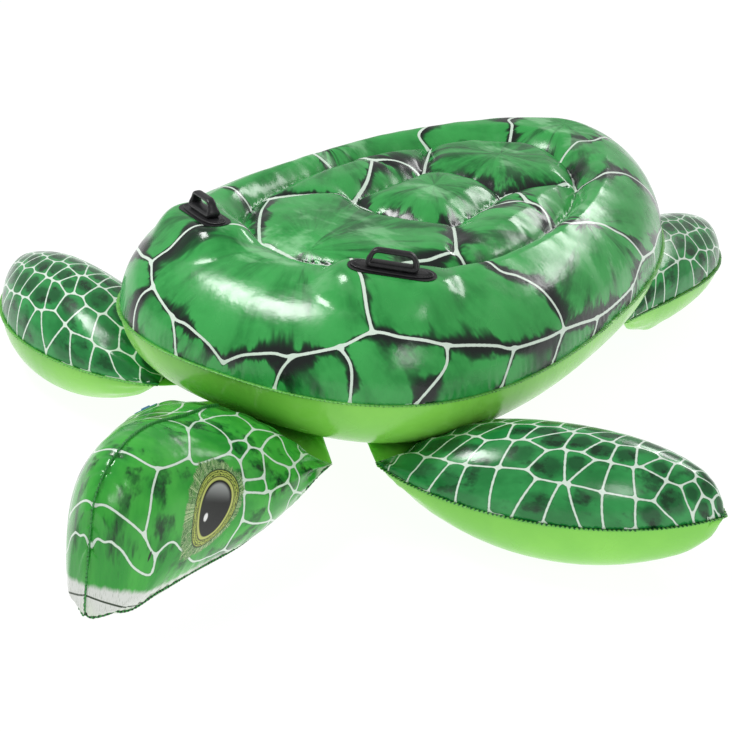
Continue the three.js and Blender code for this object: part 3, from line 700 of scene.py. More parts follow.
def seam_film(name, land, tooth, period):
    """Welded edge: ink ends in teeth over the plain film."""
    graph = Graph(name)
    run = graph.mark("run")
    wave = graph.math("SINE", graph.math("MULTIPLY", run, 2 * math.pi / period))
    ragged = graph.noise(object_place(graph), 160.0, 3.0)
    share = graph.math("MULTIPLY_ADD", wave, 0.3, graph.math("ADD", ragged, graph.mark("lift")))
    colour = graph.mix(graph.smooth(share, 0.45, 0.85), linear(*land), linear(*tooth))
    roughness = graph.smooth(ragged, 0.2, 0.8, 0.28, 0.5)
    return graph.finish(colour, roughness, graph.math("ADD", wave, ragged), 0.0008, 0.4)


def moulded(name, colour, darker, low, high, alpha=1.0, grain=700.0):
    graph = Graph(name)
    place = object_place(graph)
    fine = graph.noise(place, grain, 3.0)
    broad = graph.noise(place, 60.0, 3.0)
    tone = graph.mix(graph.smooth(broad, 0.3, 0.7), linear(*colour), linear(*darker))
    return graph.finish(tone, graph.smooth(fine, 0.3, 0.7, low, high), fine, 0.0002, 0.5, alpha)


SHELL_INKS = ((16, 26, 22), (14, 78, 36), (34, 140, 60), (64, 176, 86), (160, 226, 168))
FLIPPER_INKS = ((8, 56, 26), (12, 78, 38), (26, 126, 58), (52, 160, 82), (140, 212, 150))
shell_print = printed_film("shell_print", SHELL_INKS, 0.0245, 3.6, 0.55)
flipper_print = scaly_film("flipper_print", FLIPPER_INKS)
lime_film = plain_film("lime_film", (146, 226, 88), (130, 212, 80))
shell_seam = seam_film("shell_seam", (112, 194, 84), (28, 92, 44), 0.0075)
clear_film = moulded("clear_film", (206, 232, 214), (188, 222, 200), 0.18, 0.34, 0.45, 90.0)
handle_vinyl = moulded("handle_vinyl", (17, 17, 19), (27, 27, 30), 0.3, 0.5)
valve_blue = moulded("valve_blue", (84, 170, 205), (60, 145, 188), 0.2, 0.36, 0.86, 300.0)
valve_grey = moulded("valve_grey", (186, 196, 200), (168, 180, 186), 0.25, 0.42, 1.0, 300.0)

# ---------------------------------------------------------------- seams
SEAM_THICKNESS = 0.0011
SEAM_STEP = 0.0022


def tube_faces(count, sides, closed):
    """Faces round a tube of rings with equally many sides; an open tube gets two end faces."""
    faces = []
    for k in range(count if closed else count - 1):
        after = (k + 1) % count
        for side in range(sides):
            beside = (side + 1) % sides
            faces.append((k * sides + side, k * sides + beside, after * sides + beside, after * sides + side))
    if not closed:
        faces.append(tuple(range(sides - 1, -1, -1)))
        faces.append(tuple((count - 1) * sides + side for side in range(sides)))
    return faces


def seam_ribbon(name, path, outward, width, period, seed=0):
    """A crimped seam flange along a path: it reaches from just inside the pillow to its toothed outer edge."""
    count = len(path)
    run = along_path(path)
    upward = unit(np.cross(unit(np.gradient(path, axis=0)), outward))
    fade = smoothstep(np.minimum(run, run[-1] - run), 0, 0.012) * 0.8 + 0.2
    wave = crimp(run, period, seed)
    reach = (width * (1 + 0.16 * wave) * fade)[:, None]
    sway = (0.0013 * crimp(run, period * 1.3, seed + 2))[:, None] * upward
    rows = []
    for out_share, swing in ((-0.35, 0.0), (0.45, 0.6), (1.0, 1.0)):
        centre = path + outward * reach * out_share + sway * swing
        half = SEAM_THICKNESS / 2 * (1.5 if out_share < 0 else 1)
        rows.append((centre + upward * half, centre - upward * half))
    ring = [rows[0][0], rows[1][0], rows[2][0], rows[2][1], rows[1][1], rows[0][1]]
    points = np.stack(ring, axis=1).reshape(-1, 3)
    sides = len(ring)
    piece = add_piece(name, points, tube_faces(count, sides, closed=False))
    write_mark(piece, "run", np.repeat(run, sides))
    write_mark(piece, "lift", np.tile([0.3, 0.18, 0.05, -0.15, -0.25, -0.3], count))
    return piece


def pleats(run, distance, depth, fade, period, seed=0):
    """The dents of a pleated film at a distance from the weld that gathers it."""
    return depth * np.exp(-distance / fade) * crimp(run, period, seed) * smoothstep(distance, 0, 0.004)


# ---------------------------------------------------------------- the shell's print
MARGINAL = [
    (0, -0.716), (0.035, -0.69), (0.073, -0.674), (0.101, -0.664), (0.138, -0.656),
    (0.211, -0.605), (0.247, -0.553), (0.292, -0.529), (0.328, -0.502), (0.363, -0.474),
    (0.387, -0.44), (0.422, -0.382), (0.445, -0.344), (0.463, -0.255), (0.467, -0.19),
    (0.473, -0.129), (0.48, -0.059), (0.474, 0.024), (0.456, 0.119), (0.432, 0.157),
    (0.411, 0.201), (0.399, 0.286), (0.368, 0.356), (0.335, 0.475), (0.3, 0.545),
    (0.24, 0.6), (0.17, 0.645), (0.1, 0.655), (0, 0.67),
]
RIM_BRANCHES = [
    [(0.138, -0.656), (0.124, -0.695), (0.118, -0.76)],
    [(0.211, -0.605), (0.255, -0.633), (0.3, -0.73)],
    [(0.363, -0.474), (0.393, -0.511), (0.402, -0.62)],
    [(0.445, -0.344), (0.472, -0.374), (0.54, -0.44)],
    [(0.467, -0.19), (0.493, -0.219), (0.56, -0.27)],
    [(0.48, -0.059), (0.495, -0.062), (0.58, -0.12)],
    [(0.456, 0.119), (0.475, 0.118), (0.57, 0.08)],
    [(0.399, 0.286), (0.43, 0.298), (0.53, 0.33)],
    [(0.335, 0.475), (0.37, 0.5), (0.45, 0.56)],
    [(0.24, 0.6), (0.26, 0.64), (0.31, 0.72)],
    [(0.1, 0.655), (0.11, 0.69), (0.12, 0.78)],
]
SEAT_LINES = [
    [(0.247, -0.553), (0.205, -0.515), (0.16, -0.476), (0.12, -0.44), (0.105, -0.395), (0.06, -0.4),
     (0, -0.415)],
    [(0.105, -0.395), (0.146, -0.344), (0.181, -0.291), (0.203, -0.235)],
    [(0.203, -0.235), (0.155, -0.165), (0.108, -0.105)],
    [(0.108, -0.105), (0.05, -0.13), (0, -0.135)],
    [(0.203, -0.235), (0.255, -0.25), (0.31, -0.262), (0.337, -0.238), (0.366, -0.216), (0.392, -0.203),
     (0.436, -0.191), (0.467, -0.19)],
    [(0.108, -0.105), (0.125, -0.04), (0.15, 0.01), (0.175, 0.05)],
    [(0.175, 0.05), (0.12, 0.09), (0.088, 0.1), (0.04, 0.125), (0, 0.132)],
    [(0.175, 0.05), (0.22, 0.045), (0.262, 0.015), (0.289, 0.012), (0.3, 0.05), (0.318, 0.095),
     (0.34, 0.121), (0.362, 0.153), (0.411, 0.201)],
    [(0.088, 0.1), (0.125, 0.165), (0.165, 0.245)],
    [(0.165, 0.245), (0.115, 0.31), (0.057, 0.358), (0, 0.37)],
    [(0.165, 0.245), (0.2, 0.248), (0.21, 0.3), (0.224, 0.35), (0.246, 0.388), (0.273, 0.426),
     (0.302, 0.454), (0.335, 0.475)],
    [(0.057, 0.358), (0.075, 0.4), (0.1, 0.43), (0.095, 0.5), (0.11, 0.56), (0.13, 0.62), (0.15, 0.65)],
]
SHELL_PEN = 0.0029
SHELL_STEP = 0.0055


def print_line(points):
    """A print line through given points, lightly rounded at its bends."""
    return resample(points, LINE_STEP) if len(points) < 3 else rounded(points, LINE_STEP)


def shell_lines():
    for line in [MARGINAL, *RIM_BRANCHES, *SEAT_LINES]:
        for side in (line, mirrored(line)):
            yield print_line(side)


def shell_place(flat):
    plan, turn, along, outward, depth = plan_of_print(flat)
    height = shell_top_height(plan, turn)
    _, loop_distance = nearest(LOOP.tree, plan)
    loop_along, _, _ = LOOP.locate(plan)
    height += pleats(loop_along, loop_distance, 0.0017, 0.045, 0.061, 1)
    for k, (share, reach, line) in enumerate(seat_welds()):
        index, distance = nearest(tree_of(line), plan)
        height += share * pleats(index * LINE_STEP, distance, 0.0014, 0.034, 0.049, k)
    dent = pleats(along, depth, 0.0016, 0.022, 0.019, 4)
    plan = plan + outward * dent[:, None]
    dimple = 0.0012 * np.sin(plan[:, 0] * 31 + 2 * np.sin(plan[:, 1] * 17)) * np.sin(plan[:, 1] * 27)
    return np.column_stack([plan, height + dimple * smoothstep(turn, 0.6, 1.5)])


border = resample(FLAT_RIM.points, 0.0035, closed=True)
shell_film = Film(border, list(shell_lines()), SHELL_STEP, SHELL_PEN)
shell_points = shell_place(shell_film.flat)
for hand in ("left", "right"):
    shell_points = Plate(f"handle_pad_{hand}").settle(shell_points)
shell_points = settled(shell_film, shell_points, "seat", "ring")
shell_top = film_piece("shell_top_film", shell_film, shell_points)
finish_piece(shell_top, "shell", "printed_film", shell_print, "shell_top_sheet")


def bottom_place(flat):
    plan, turn, along, outward, depth = plan_of_print(flat)
    height = SEAM_HEIGHT * (1 - np.sin(turn)) - FILM_GAP * np.cos(turn)
    dent = pleats(along, depth, 0.0014, 0.02, 0.017, 6)
    return np.column_stack([plan + outward * dent[:, None], height])


bottom_film = Film(border, [], 0.008, SHELL_PEN)
shell_bottom = film_piece("shell_bottom_film", bottom_film, bottom_place(bottom_film.flat))
finish_piece(shell_bottom, "shell", "lime_film", lime_film, "shell_bottom_sheet")

rim_path = resample(RIM.points, SEAM_STEP, closed=True)
rim_path = np.vstack([rim_path, rim_path[:1]])
rim_tangent = unit(np.gradient(rim_path, axis=0))
rim_outward = np.column_stack([rim_tangent[:, 1], -rim_tangent[:, 0], np.zeros(len(rim_path))])
rim_path = np.column_stack([rim_path, np.full(len(rim_path), SEAM_HEIGHT)])
crimp_piece = seam_ribbon("shell_seam_crimp", rim_path, rim_outward, 0.0062, 0.0075)
finish_piece(crimp_piece, "shell", "lime_film", shell_seam)

# ---------------------------------------------------------------- flippers
def underside(x, y):
    """How low the shell's tube hangs over a point in plan."""
    _, depth, _ = RIM.locate(np.stack([x, y], axis=1))
    turn = np.arccos(np.clip(1 - depth / TUBE, 0, 1))
    return np.where(depth < 0, 1.0, SEAM_HEIGHT * (1 - np.sin(turn)))


def under_shell(points):
    """The points, pressed down where the shell's tube lies over them."""
    room = underside(points[:, 0], points[:, 1]) - LIMB_CLEARANCE
    points[:, 2] = np.minimum(points[:, 2], np.maximum(room, HINGE_HEIGHT + FILM_GAP))
    return points


class Limb:
    """A pillow flipper: two edge curves run in plan from the root line to the tip they share."""

    def __init__(self, ahead, behind, drop, thickness, side):
        self.ahead = bezier(*ahead)
        self.behind = bezier(*behind)
        self.drop = drop
        self.thickness = profile(*thickness)
        self.side = side
        root = self.ahead(0) - self.behind(0)
        self.middle = (self.ahead(0) + self.behind(0)) / 2
        self.outward = np.array([-root[1], root[0]]) / np.linalg.norm(root)
        self.outward *= np.sign(self.outward[0])
        self.length = np.linalg.norm(self.ahead(1) - self.middle)

    def height(self, s):
        """The pillow's thickness, pinched to nothing at its tip."""
        return np.maximum(self.thickness(s) * np.sqrt(np.clip((1 - s) / 0.05, 0, 1)), 0)

    def girth(self, s):
        """The length of film over one side of the section."""
        half_width = np.linalg.norm(self.ahead(s) - self.behind(s), axis=-1) / 2
        return math.pi * np.sqrt((half_width**2 + (self.height(s) / 2) ** 2) / 2)

    def border(self, step):
        s = np.linspace(0, 1, int(self.length / step))
        half = self.girth(s) / 2
        back = np.stack([s * self.length, -half], axis=1)
        front = np.stack([s * self.length, half], axis=1)[-2:0:-1]
        root = np.linspace(half[0], -half[0], int(2 * half[0] / step))[:-1]
        root = np.stack([np.zeros(len(root)), root], axis=1)
        return resample(np.vstack([back, front, root]), step, closed=True)

    def place(self, flat, upper, seed):
        s = np.clip(flat[:, 0] / self.length, 0, 1)
        share = np.clip(flat[:, 1] / np.maximum(self.girth(s), 1e-5) + 0.5, 0, 1)
        turn = share * math.pi
        across = (1 - np.cos(turn))[:, None] / 2
        plan = self.behind(s) * (1 - across) + self.ahead(s) * across + self.outward * HINGE_GAP
        seam = np.minimum(share, 1 - share) * self.girth(s)
        dent = pleats(flat[:, 0] + 0.3 * (share > 0.5), seam, 0.0036, 0.03, 0.027, seed)
        tight = 1 + 1.6 * smoothstep(s, 0.8, 1) + 1.2 * smoothstep(s, 0.16, 0)
        root_fold = 0.004 * np.sin(share * 46 + seed) * smoothstep(s, 0.28, 0.05) * smoothstep(s, 0, 0.05)
        swell = self.height(s) / 2 * np.sin(turn) + (dent * tight + root_fold) * np.sin(turn) ** 0.3
        sign = 1 if upper else -1
        height = HINGE_HEIGHT - self.drop * s + sign * (FILM_GAP + np.maximum(swell, 0))
        points = np.column_stack([plan, height])
        points[:, 0] *= self.side
        return under_shell(points) if upper else points

    def seam(self, step):
        s = np.linspace(0, 1, int(1.3 * self.length / step))
        back = self.behind(s)
        front = self.ahead(s[::-1])[1:]
        plan = resample(np.vstack([back, front]), step) + self.outward * HINGE_GAP
        far = np.clip(((plan - self.middle) @ self.outward) / self.length, 0, 1)
        tangent = unit(np.gradient(plan, axis=0))
        out = np.column_stack([tangent[:, 1], -tangent[:, 0]])
        inward = self.behind(0.5) * 0.5 + self.ahead(0.5) * 0.5 - plan[len(plan) // 4]
        if out[len(plan) // 4] @ inward > 0:
            out = -out
        s_of = np.interp(far, *self.reach_table())
        path = np.column_stack([plan, HINGE_HEIGHT - self.drop * s_of])
        outward = np.column_stack([out, np.zeros(len(out))])
        path[:, 0] *= self.side
        outward[:, 0] *= self.side
        return path, outward

    def reach_table(self):
        s = np.linspace(0, 1, 60)
        middle = (self.ahead(s) + self.behind(s)) / 2
        return np.maximum.accumulate(((middle - self.middle) @ self.outward) / self.length), s


def cell_lines(border, rows, pitch, seed):
    """The borders of a scaly print: cells round jittered seeds laid out in rows along the film's edges.
    rows: (share of the film's width from its edge, cell length)."""
    dice = np.random.default_rng(seed)
    low, high = border.min(0), border.max(0)
    seeds = []
    for share, length in rows:
        x = low[0] + 0.4 * length * (1 + dice.random())
        while x < high[0]:
            near = border[np.abs(border[:, 0] - x) < pitch]
            if len(near):
                y = near[:, 1].min() + share * np.ptp(near[:, 1])
                seeds.append((x + dice.uniform(-0.3, 0.3) * length, y + dice.uniform(-0.3, 0.3) * length))
            x += length * dice.uniform(0.82, 1.18)
    seeds = np.array(seeds)
    seeds = seeds[inside(border, seeds)]
    kept = []
    for p in seeds:
        if all(np.linalg.norm(p - q) > 0.62 * pitch for q in kept):
            kept.append(p)
    seeds = np.array(kept)
    closest, gap = nearest(tree_of(border), seeds)
    guards = 2 * border[closest] - seeds
    ring = np.concatenate([seeds, guards[gap < 2.5 * pitch]])
    cut = delaunay_2d_cdt([Vector(p) for p in ring], [], [], 0, 1e-6, True)
    points = np.array([(p.x, p.y) for p in cut[0]])
    centres = {}
    sides = {}
    for k, (a, b, c) in enumerate(cut[2]):
        centres[k] = circle_centre(points[a], points[b], points[c])
        for edge in ((a, b), (b, c), (c, a)):
            sides.setdefault((min(edge), max(edge)), []).append(k)
    for pair in sides.values():
        if len(pair) == 2:
            ends = np.array([centres[pair[0]], centres[pair[1]]])
            if 0.002 < np.linalg.norm(ends[0] - ends[1]) < 4 * pitch and inside(border, ends).any():
                yield resample(ends, LINE_STEP)


def circle_centre(a, b, c):
    """The centre of the circle through three points."""
    matrix = 2 * np.array([b - a, c - a])
    values = np.array([b @ b - a @ a, c @ c - a @ a])
    return np.linalg.solve(matrix, values)


FRONT_FLIPPER = dict(
    ahead=[(0.238, -0.512), (0.4, -0.59), (0.69, -0.54), (0.787, -0.296)],
    behind=[(0.322, -0.262), (0.43, -0.37), (0.69, -0.155), (0.787, -0.296)],
    drop=0.006,
    thickness=[(0, 0), (0.12, 0.12), (0.35, 0.212), (0.6, 0.222), (0.85, 0.15), (0.96, 0.07), (1, 0.016)],
)
REAR_FLIPPER = dict(
    ahead=[(0.272, 0.292), (0.255, 0.42), (0.35, 0.72), (0.156, 0.866)],
    behind=[(0.146, 0.46), (0.06, 0.6), (0, 0.83), (0.156, 0.866)],
    drop=0.016,
    thickness=[(0, 0), (0.12, 0.116), (0.35, 0.188), (0.6, 0.172), (0.85, 0.116), (0.96, 0.058), (1, 0.014)],
)
SCALE_ROWS = [(0.11, 0.038), (0.3, 0.034), (0.44, 0.029), (0.57, 0.031), (0.7, 0.034), (0.88, 0.038)]
FLIPPER_PEN = 0.0016
FLIPPER_STEP = 0.0042

for end, shape in (("front", FRONT_FLIPPER), ("rear", REAR_FLIPPER)):
    for hand, side in (("left", 1), ("right", -1)):
        body = f"{end}_{hand}_flipper"
        limb = Limb(**shape, side=side)
        border = limb.border(0.0035)
        seed = len(body) + 3 * (side > 0)
        scales = list(cell_lines(border, SCALE_ROWS, 0.033, seed))
        film = Film(border, scales, FLIPPER_STEP, FLIPPER_PEN)
        top = film_piece(f"{body}_top_film", film, limb.place(film.flat, True, seed))
        finish_piece(top, body, "printed_film", flipper_print, f"{body}_top")
        film = Film(border, [], 0.0055, FLIPPER_PEN)
        points = settled(film, limb.place(film.flat, False, seed + 1), body)
        bottom = film_piece(f"{body}_bottom_film", film, points)
        finish_piece(bottom, body, "lime_film", lime_film, f"{body}_bottom")
        path, outward = limb.seam(SEAM_STEP)
        crimp_piece = seam_ribbon(f"{body}_seam_crimp", path, outward, 0.005, 0.0068, seed)
        finish_piece(crimp_piece, body, "lime_film", shell_seam)

# ---------------------------------------------------------------- head
HEAD_LENGTH = 0.536
HEAD_YAW = math.radians(10.6)  # the head looks a little to the turtle's left
NECK_Y = -0.563
CHEEK_TURN = math.radians(-48)  # the cheek seams run this far under the widest line
CHIN_DROP = 0.082
NOSE_PINCH = 0.05  # share of the head's length over which it rounds off to its nose
half_width_of = profile(
    (0, 0.186), (0.1, 0.172), (0.4, 0.158), (0.62, 0.118), (0.82, 0.088), (0.94, 0.05), (1, 0.012)
)
ridge_of = profile(
    (0, 0), (0.1, 0.062), (0.22, 0.1), (0.42, 0.126), (0.64, 0.158), (0.8, 0.155), (0.93, 0.118), (1, 0.03)
)
belly_of = profile((0, 0), (0.14, 0.084), (0.3, 0.109), (0.8, 0.109), (0.92, 0.096), (1, 0.03))


def rounding(s):
    """How the head's sizes close in at its nose."""
    return np.sqrt(np.clip((1 - s) / NOSE_PINCH, 0, 1))


def chin_drop(s):
    """How far the widest line sinks towards the chin, where all the head's seams end."""
    return CHIN_DROP * smoothstep(s, 0.78, 1)


def head_sizes(s):
    """Half width, height over the widest line and depth under it."""
    ridge = ridge_of(s) + 0.85 * chin_drop(s)
    belly = np.maximum(belly_of(s) - chin_drop(s), 0.014)
    return half_width_of(s) * rounding(s), ridge * rounding(s), belly * rounding(s)


def head_point(s, across, up):
    """A point of the head: a share of its length, and ways across and up from its axis."""
    bend = HEAD_YAW * smoothstep(s, 0, 0.25)
    along = HEAD_LENGTH * s + HINGE_GAP
    x = along * math.sin(HEAD_YAW) + across * np.cos(bend)
    y = NECK_Y - along * math.cos(HEAD_YAW) + across * np.sin(bend)
    return np.stack([x, y, HINGE_HEIGHT + up - chin_drop(s)], axis=1)


def quarter(s):
    """The length of film round a quarter of the head's section."""
    width, ridge, belly = head_sizes(s)
    return math.pi / 2 * np.sqrt((width**2 + ((ridge + belly) / 2) ** 2) / 2)


FACE_TABLE = np.linspace(0, 1, 400)
face_rise = np.gradient(0.8 * ridge_of(FACE_TABLE) * rounding(FACE_TABLE), FACE_TABLE)
FACE_REACH = np.cumsum(np.hypot(HEAD_LENGTH, np.where(FACE_TABLE > 0.8, face_rise, 0))) / len(FACE_TABLE)


def flat_reach(s):
    """Where a section lies along the flat print: the steep face takes more film than its length in plan."""
    return np.interp(s, FACE_TABLE, FACE_REACH)


def section_of(flat):
    """The share of the head's length at points of the flat print."""
    return np.interp(flat[:, 0], FACE_REACH, FACE_TABLE)


def on_print(points):
    """Face features, given along the head's length and round an even section, laid out on the flat print."""
    p = np.array(points, float).reshape(-1, 2)
    s = np.clip(p[:, 0] / HEAD_LENGTH, 0, 1)
    even = (ridge_of(s) + belly_of(s)) / 2
    plain_quarter = math.pi / 2 * np.sqrt((half_width_of(s) ** 2 + even**2) / 2)
    x = np.where(p[:, 0] < 0, p[:, 0], flat_reach(s))
    return np.stack([x, p[:, 1] * quarter(s) / plain_quarter], axis=1)


def cheek_turn(s):
    return CHEEK_TURN * smoothstep(s, 0, 0.25)


def cheek_share(s):
    """How many quarters of the section a side film covers."""
    return 1 - cheek_turn(s) / (math.pi / 2)


def side_border(step):
    s = np.linspace(0, 1, int(HEAD_LENGTH / step))
    ridge = np.stack([flat_reach(s), np.zeros(len(s))], axis=1)
    cheek = np.stack([flat_reach(s), -cheek_share(s) * quarter(s)], axis=1)[-2::-1]
    return resample(np.vstack([ridge, cheek]), step, closed=True)


def side_place(flat, side):
    s = section_of(flat)
    share = np.clip(-flat[:, 1] / np.maximum(quarter(s), 1e-5), 0, cheek_share(s))
    turn = math.pi / 2 * (1 - share)
    width, ridge, belly = head_sizes(s)
    reach = np.where(turn > 0, ridge, belly)
    to_ridge = -flat[:, 1]
    to_cheek = (cheek_share(s) - share) * quarter(s)
    dent = pleats(flat[:, 0], to_ridge, 0.0018, 0.022, 0.026, 2)
    dent = dent + pleats(flat[:, 0], to_cheek, 0.0032, 0.025, 0.024, 5)
    dent = dent * (1 + 1.5 * smoothstep(s, 0.86, 1)) * smoothstep(s, 0, 0.1)
    fold = 0.004 * np.sin(share * 34 + 2) * smoothstep(s, 0.3, 0.06) * smoothstep(s, 0, 0.06)
    edge = smoothstep(np.minimum(to_ridge, to_cheek), 0, 0.006)
    swell = 1 + (dent + fold * edge) / np.maximum(width, 0.02)
    across = side * (FILM_GAP + width * np.cos(turn) * swell)
    return under_shell(head_point(s, across, reach * np.sin(turn) * swell + FILM_GAP * (1 - s)))


def belly_sizes(s):
    width, _, belly = head_sizes(s)
    turn = cheek_turn(s)
    seam_height = belly * np.sin(turn)
    return width * np.cos(turn), seam_height, belly + seam_height


def belly_girth(s):
    half, _, hang = belly_sizes(s)
    return math.pi * np.sqrt((half**2 + hang**2) / 2)


def belly_border(step):
    s = np.linspace(0, 1, int(HEAD_LENGTH / step))
    left = np.stack([flat_reach(s), belly_girth(s) / 2], axis=1)
    right = np.stack([flat_reach(s), -belly_girth(s) / 2], axis=1)[-2::-1]
    return resample(np.vstack([left, right]), step, closed=True)


def belly_place(flat):
    s = section_of(flat)
    share = np.clip(flat[:, 1] / np.maximum(belly_girth(s), 1e-5) + 0.5, 0, 1)
    half, seam_height, hang = belly_sizes(s)
    edge = np.minimum(share, 1 - share) * belly_girth(s)
    dent = pleats(flat[:, 0] + 0.4 * (share > 0.5), edge, 0.003, 0.025, 0.023, 8) * smoothstep(s, 0, 0.1)
    drop = (hang + dent) * np.sin(share * math.pi)
    return head_point(s, -np.cos(share * math.pi) * half, seam_height - FILM_GAP - drop)


HEAD_LINES = [
    [(0.506, 0), (0.501, -0.026), (0.492, -0.057), (0.48, -0.088), (0.469, -0.114)],
    [(0.519, 0), (0.514, -0.035), (0.503, -0.075), (0.489, -0.118), (0.466, -0.16), (0.457, -0.151)],
    [(0.469, -0.114), (0.464, -0.135), (0.457, -0.151)],
    [(0.469, -0.114), (0.454, -0.103), (0.437, -0.087), (0.409, -0.073)],
    [(0.431, 0), (0.424, -0.049), (0.409, -0.073), (0.378, -0.084), (0.34, -0.087)],
    [(0.275, 0), (0.273, -0.026), (0.286, -0.041), (0.32, -0.069), (0.34, -0.087)],
    [(0.34, -0.087), (0.339, -0.099), (0.31, -0.103), (0.257, -0.103)],
    [(0.286, -0.041), (0.239, -0.025), (0.214, -0.025)],
    [(0.214, -0.025), (0.187, -0.008), (0.151, 0)],
    [(0.214, -0.025), (0.216, -0.052), (0.223, -0.073), (0.232, -0.085)],
    [(0.232, -0.085), (0.242, -0.096), (0.257, -0.103)],
    [(0.214, -0.025), (0.17, -0.029), (0.132, -0.042)],
    [(0.132, -0.042), (0.135, -0.059), (0.149, -0.08)],
    [(0.132, -0.042), (0.1, -0.03), (0.06, -0.028)],
    [(0.149, -0.08), (0.183, -0.087), (0.197, -0.093)],
    [(0.197, -0.093), (0.212, -0.087), (0.232, -0.085)],
    [(0.197, -0.093), (0.202, -0.105), (0.231, -0.115), (0.248, -0.122)],
    [(0.257, -0.103), (0.25, -0.111), (0.248, -0.122)],
    [(0.248, -0.122), (0.255, -0.137), (0.261, -0.151), (0.269, -0.169), (0.279, -0.212), (0.294, -0.241),
     (0.297, -0.27)],
    [(0.202, -0.105), (0.186, -0.119), (0.202, -0.142), (0.218, -0.161), (0.243, -0.157), (0.261, -0.151)],
    [(0.218, -0.161), (0.224, -0.188), (0.247, -0.179), (0.269, -0.169)],
    [(0.224, -0.188), (0.215, -0.194), (0.222, -0.224), (0.206, -0.262), (0.249, -0.24), (0.279, -0.212)],
    [(0.206, -0.262), (0.21, -0.305), (0.238, -0.313), (0.27, -0.3), (0.297, -0.27)],
    [(0.297, -0.27), (0.332, -0.262), (0.373, -0.24), (0.409, -0.189), (0.428, -0.165), (0.457, -0.151)],
    [(0.149, -0.08), (0.129, -0.088), (0.104, -0.1), (0.149, -0.108), (0.186, -0.119)],
    [(0.104, -0.1), (0.13, -0.142), (0.131, -0.171), (0.15, -0.172)],
    [(0.186, -0.119), (0.175, -0.147), (0.15, -0.172), (0.165, -0.195), (0.197, -0.193), (0.215, -0.194)],
    [(0.131, -0.171), (0.095, -0.157), (0.052, -0.106), (0.104, -0.1)],
    [(0.095, -0.157), (0.05, -0.14), (0.024, -0.13), (-0.01, -0.135)],
    [(0.131, -0.171), (0.129, -0.209), (0.144, -0.229), (0.165, -0.195)],
    [(0.144, -0.229), (0.123, -0.242), (0.091, -0.259), (0.05, -0.25), (-0.01, -0.24)],
    [(0.144, -0.229), (0.159, -0.244), (0.151, -0.285), (0.171, -0.29), (0.206, -0.262)],
    [(0.091, -0.259), (0.1, -0.29), (0.1, -0.36)],
    [(0.151, -0.285), (0.148, -0.31), (0.146, -0.38)],
    [(0.21, -0.305), (0.2, -0.33), (0.198, -0.38)],
    [(0.052, -0.106), (0.03, -0.08), (-0.01, -0.07)],
]
MOUTH_HEIGHT = profile((0, -0.12), (0.8, -0.09), (0.88, -0.084), (0.93, -0.077), (0.97, -0.064), (1, -0.05))
CHIN_HEIGHT = profile(
    (0, -0.13), (0.4, -0.088), (0.5, -0.078), (0.7, -0.07), (0.85, -0.062), (0.93, -0.048), (1, -0.034)
)
EYE_CENTRE = np.array([0.3303, -0.1666])
EYE_AXES = np.array([(-0.0268, 0.0306), (-0.0279, -0.0122)])  # the pupil's half axes: long, then short
NOSTRIL = np.array([0.466, -0.14])
HEAD_PEN = 0.002
HEAD_STEP = 0.0036


def head_marks(film, points):
    """The face as marks on the flat print: the eye's own coordinates and the way to mouth, chin and cheek."""
    s = section_of(film.flat)
    eye = (film.flat - on_print(EYE_CENTRE)) @ np.linalg.inv(EYE_AXES)
    height = points[:, 2]
    mouth = height - MOUTH_HEIGHT(s)
    chin = CHIN_HEIGHT(s) - height
    cheek = film.flat[:, 1] + cheek_share(s) * quarter(s)
    nostril = np.linalg.norm((film.flat - on_print(NOSTRIL)) * (1, 1.6), axis=1)
    eye = np.column_stack([eye, np.zeros(len(eye))])
    return {"eye": eye, "mouth": mouth, "chin": chin, "cheek": cheek, "nostril": nostril}


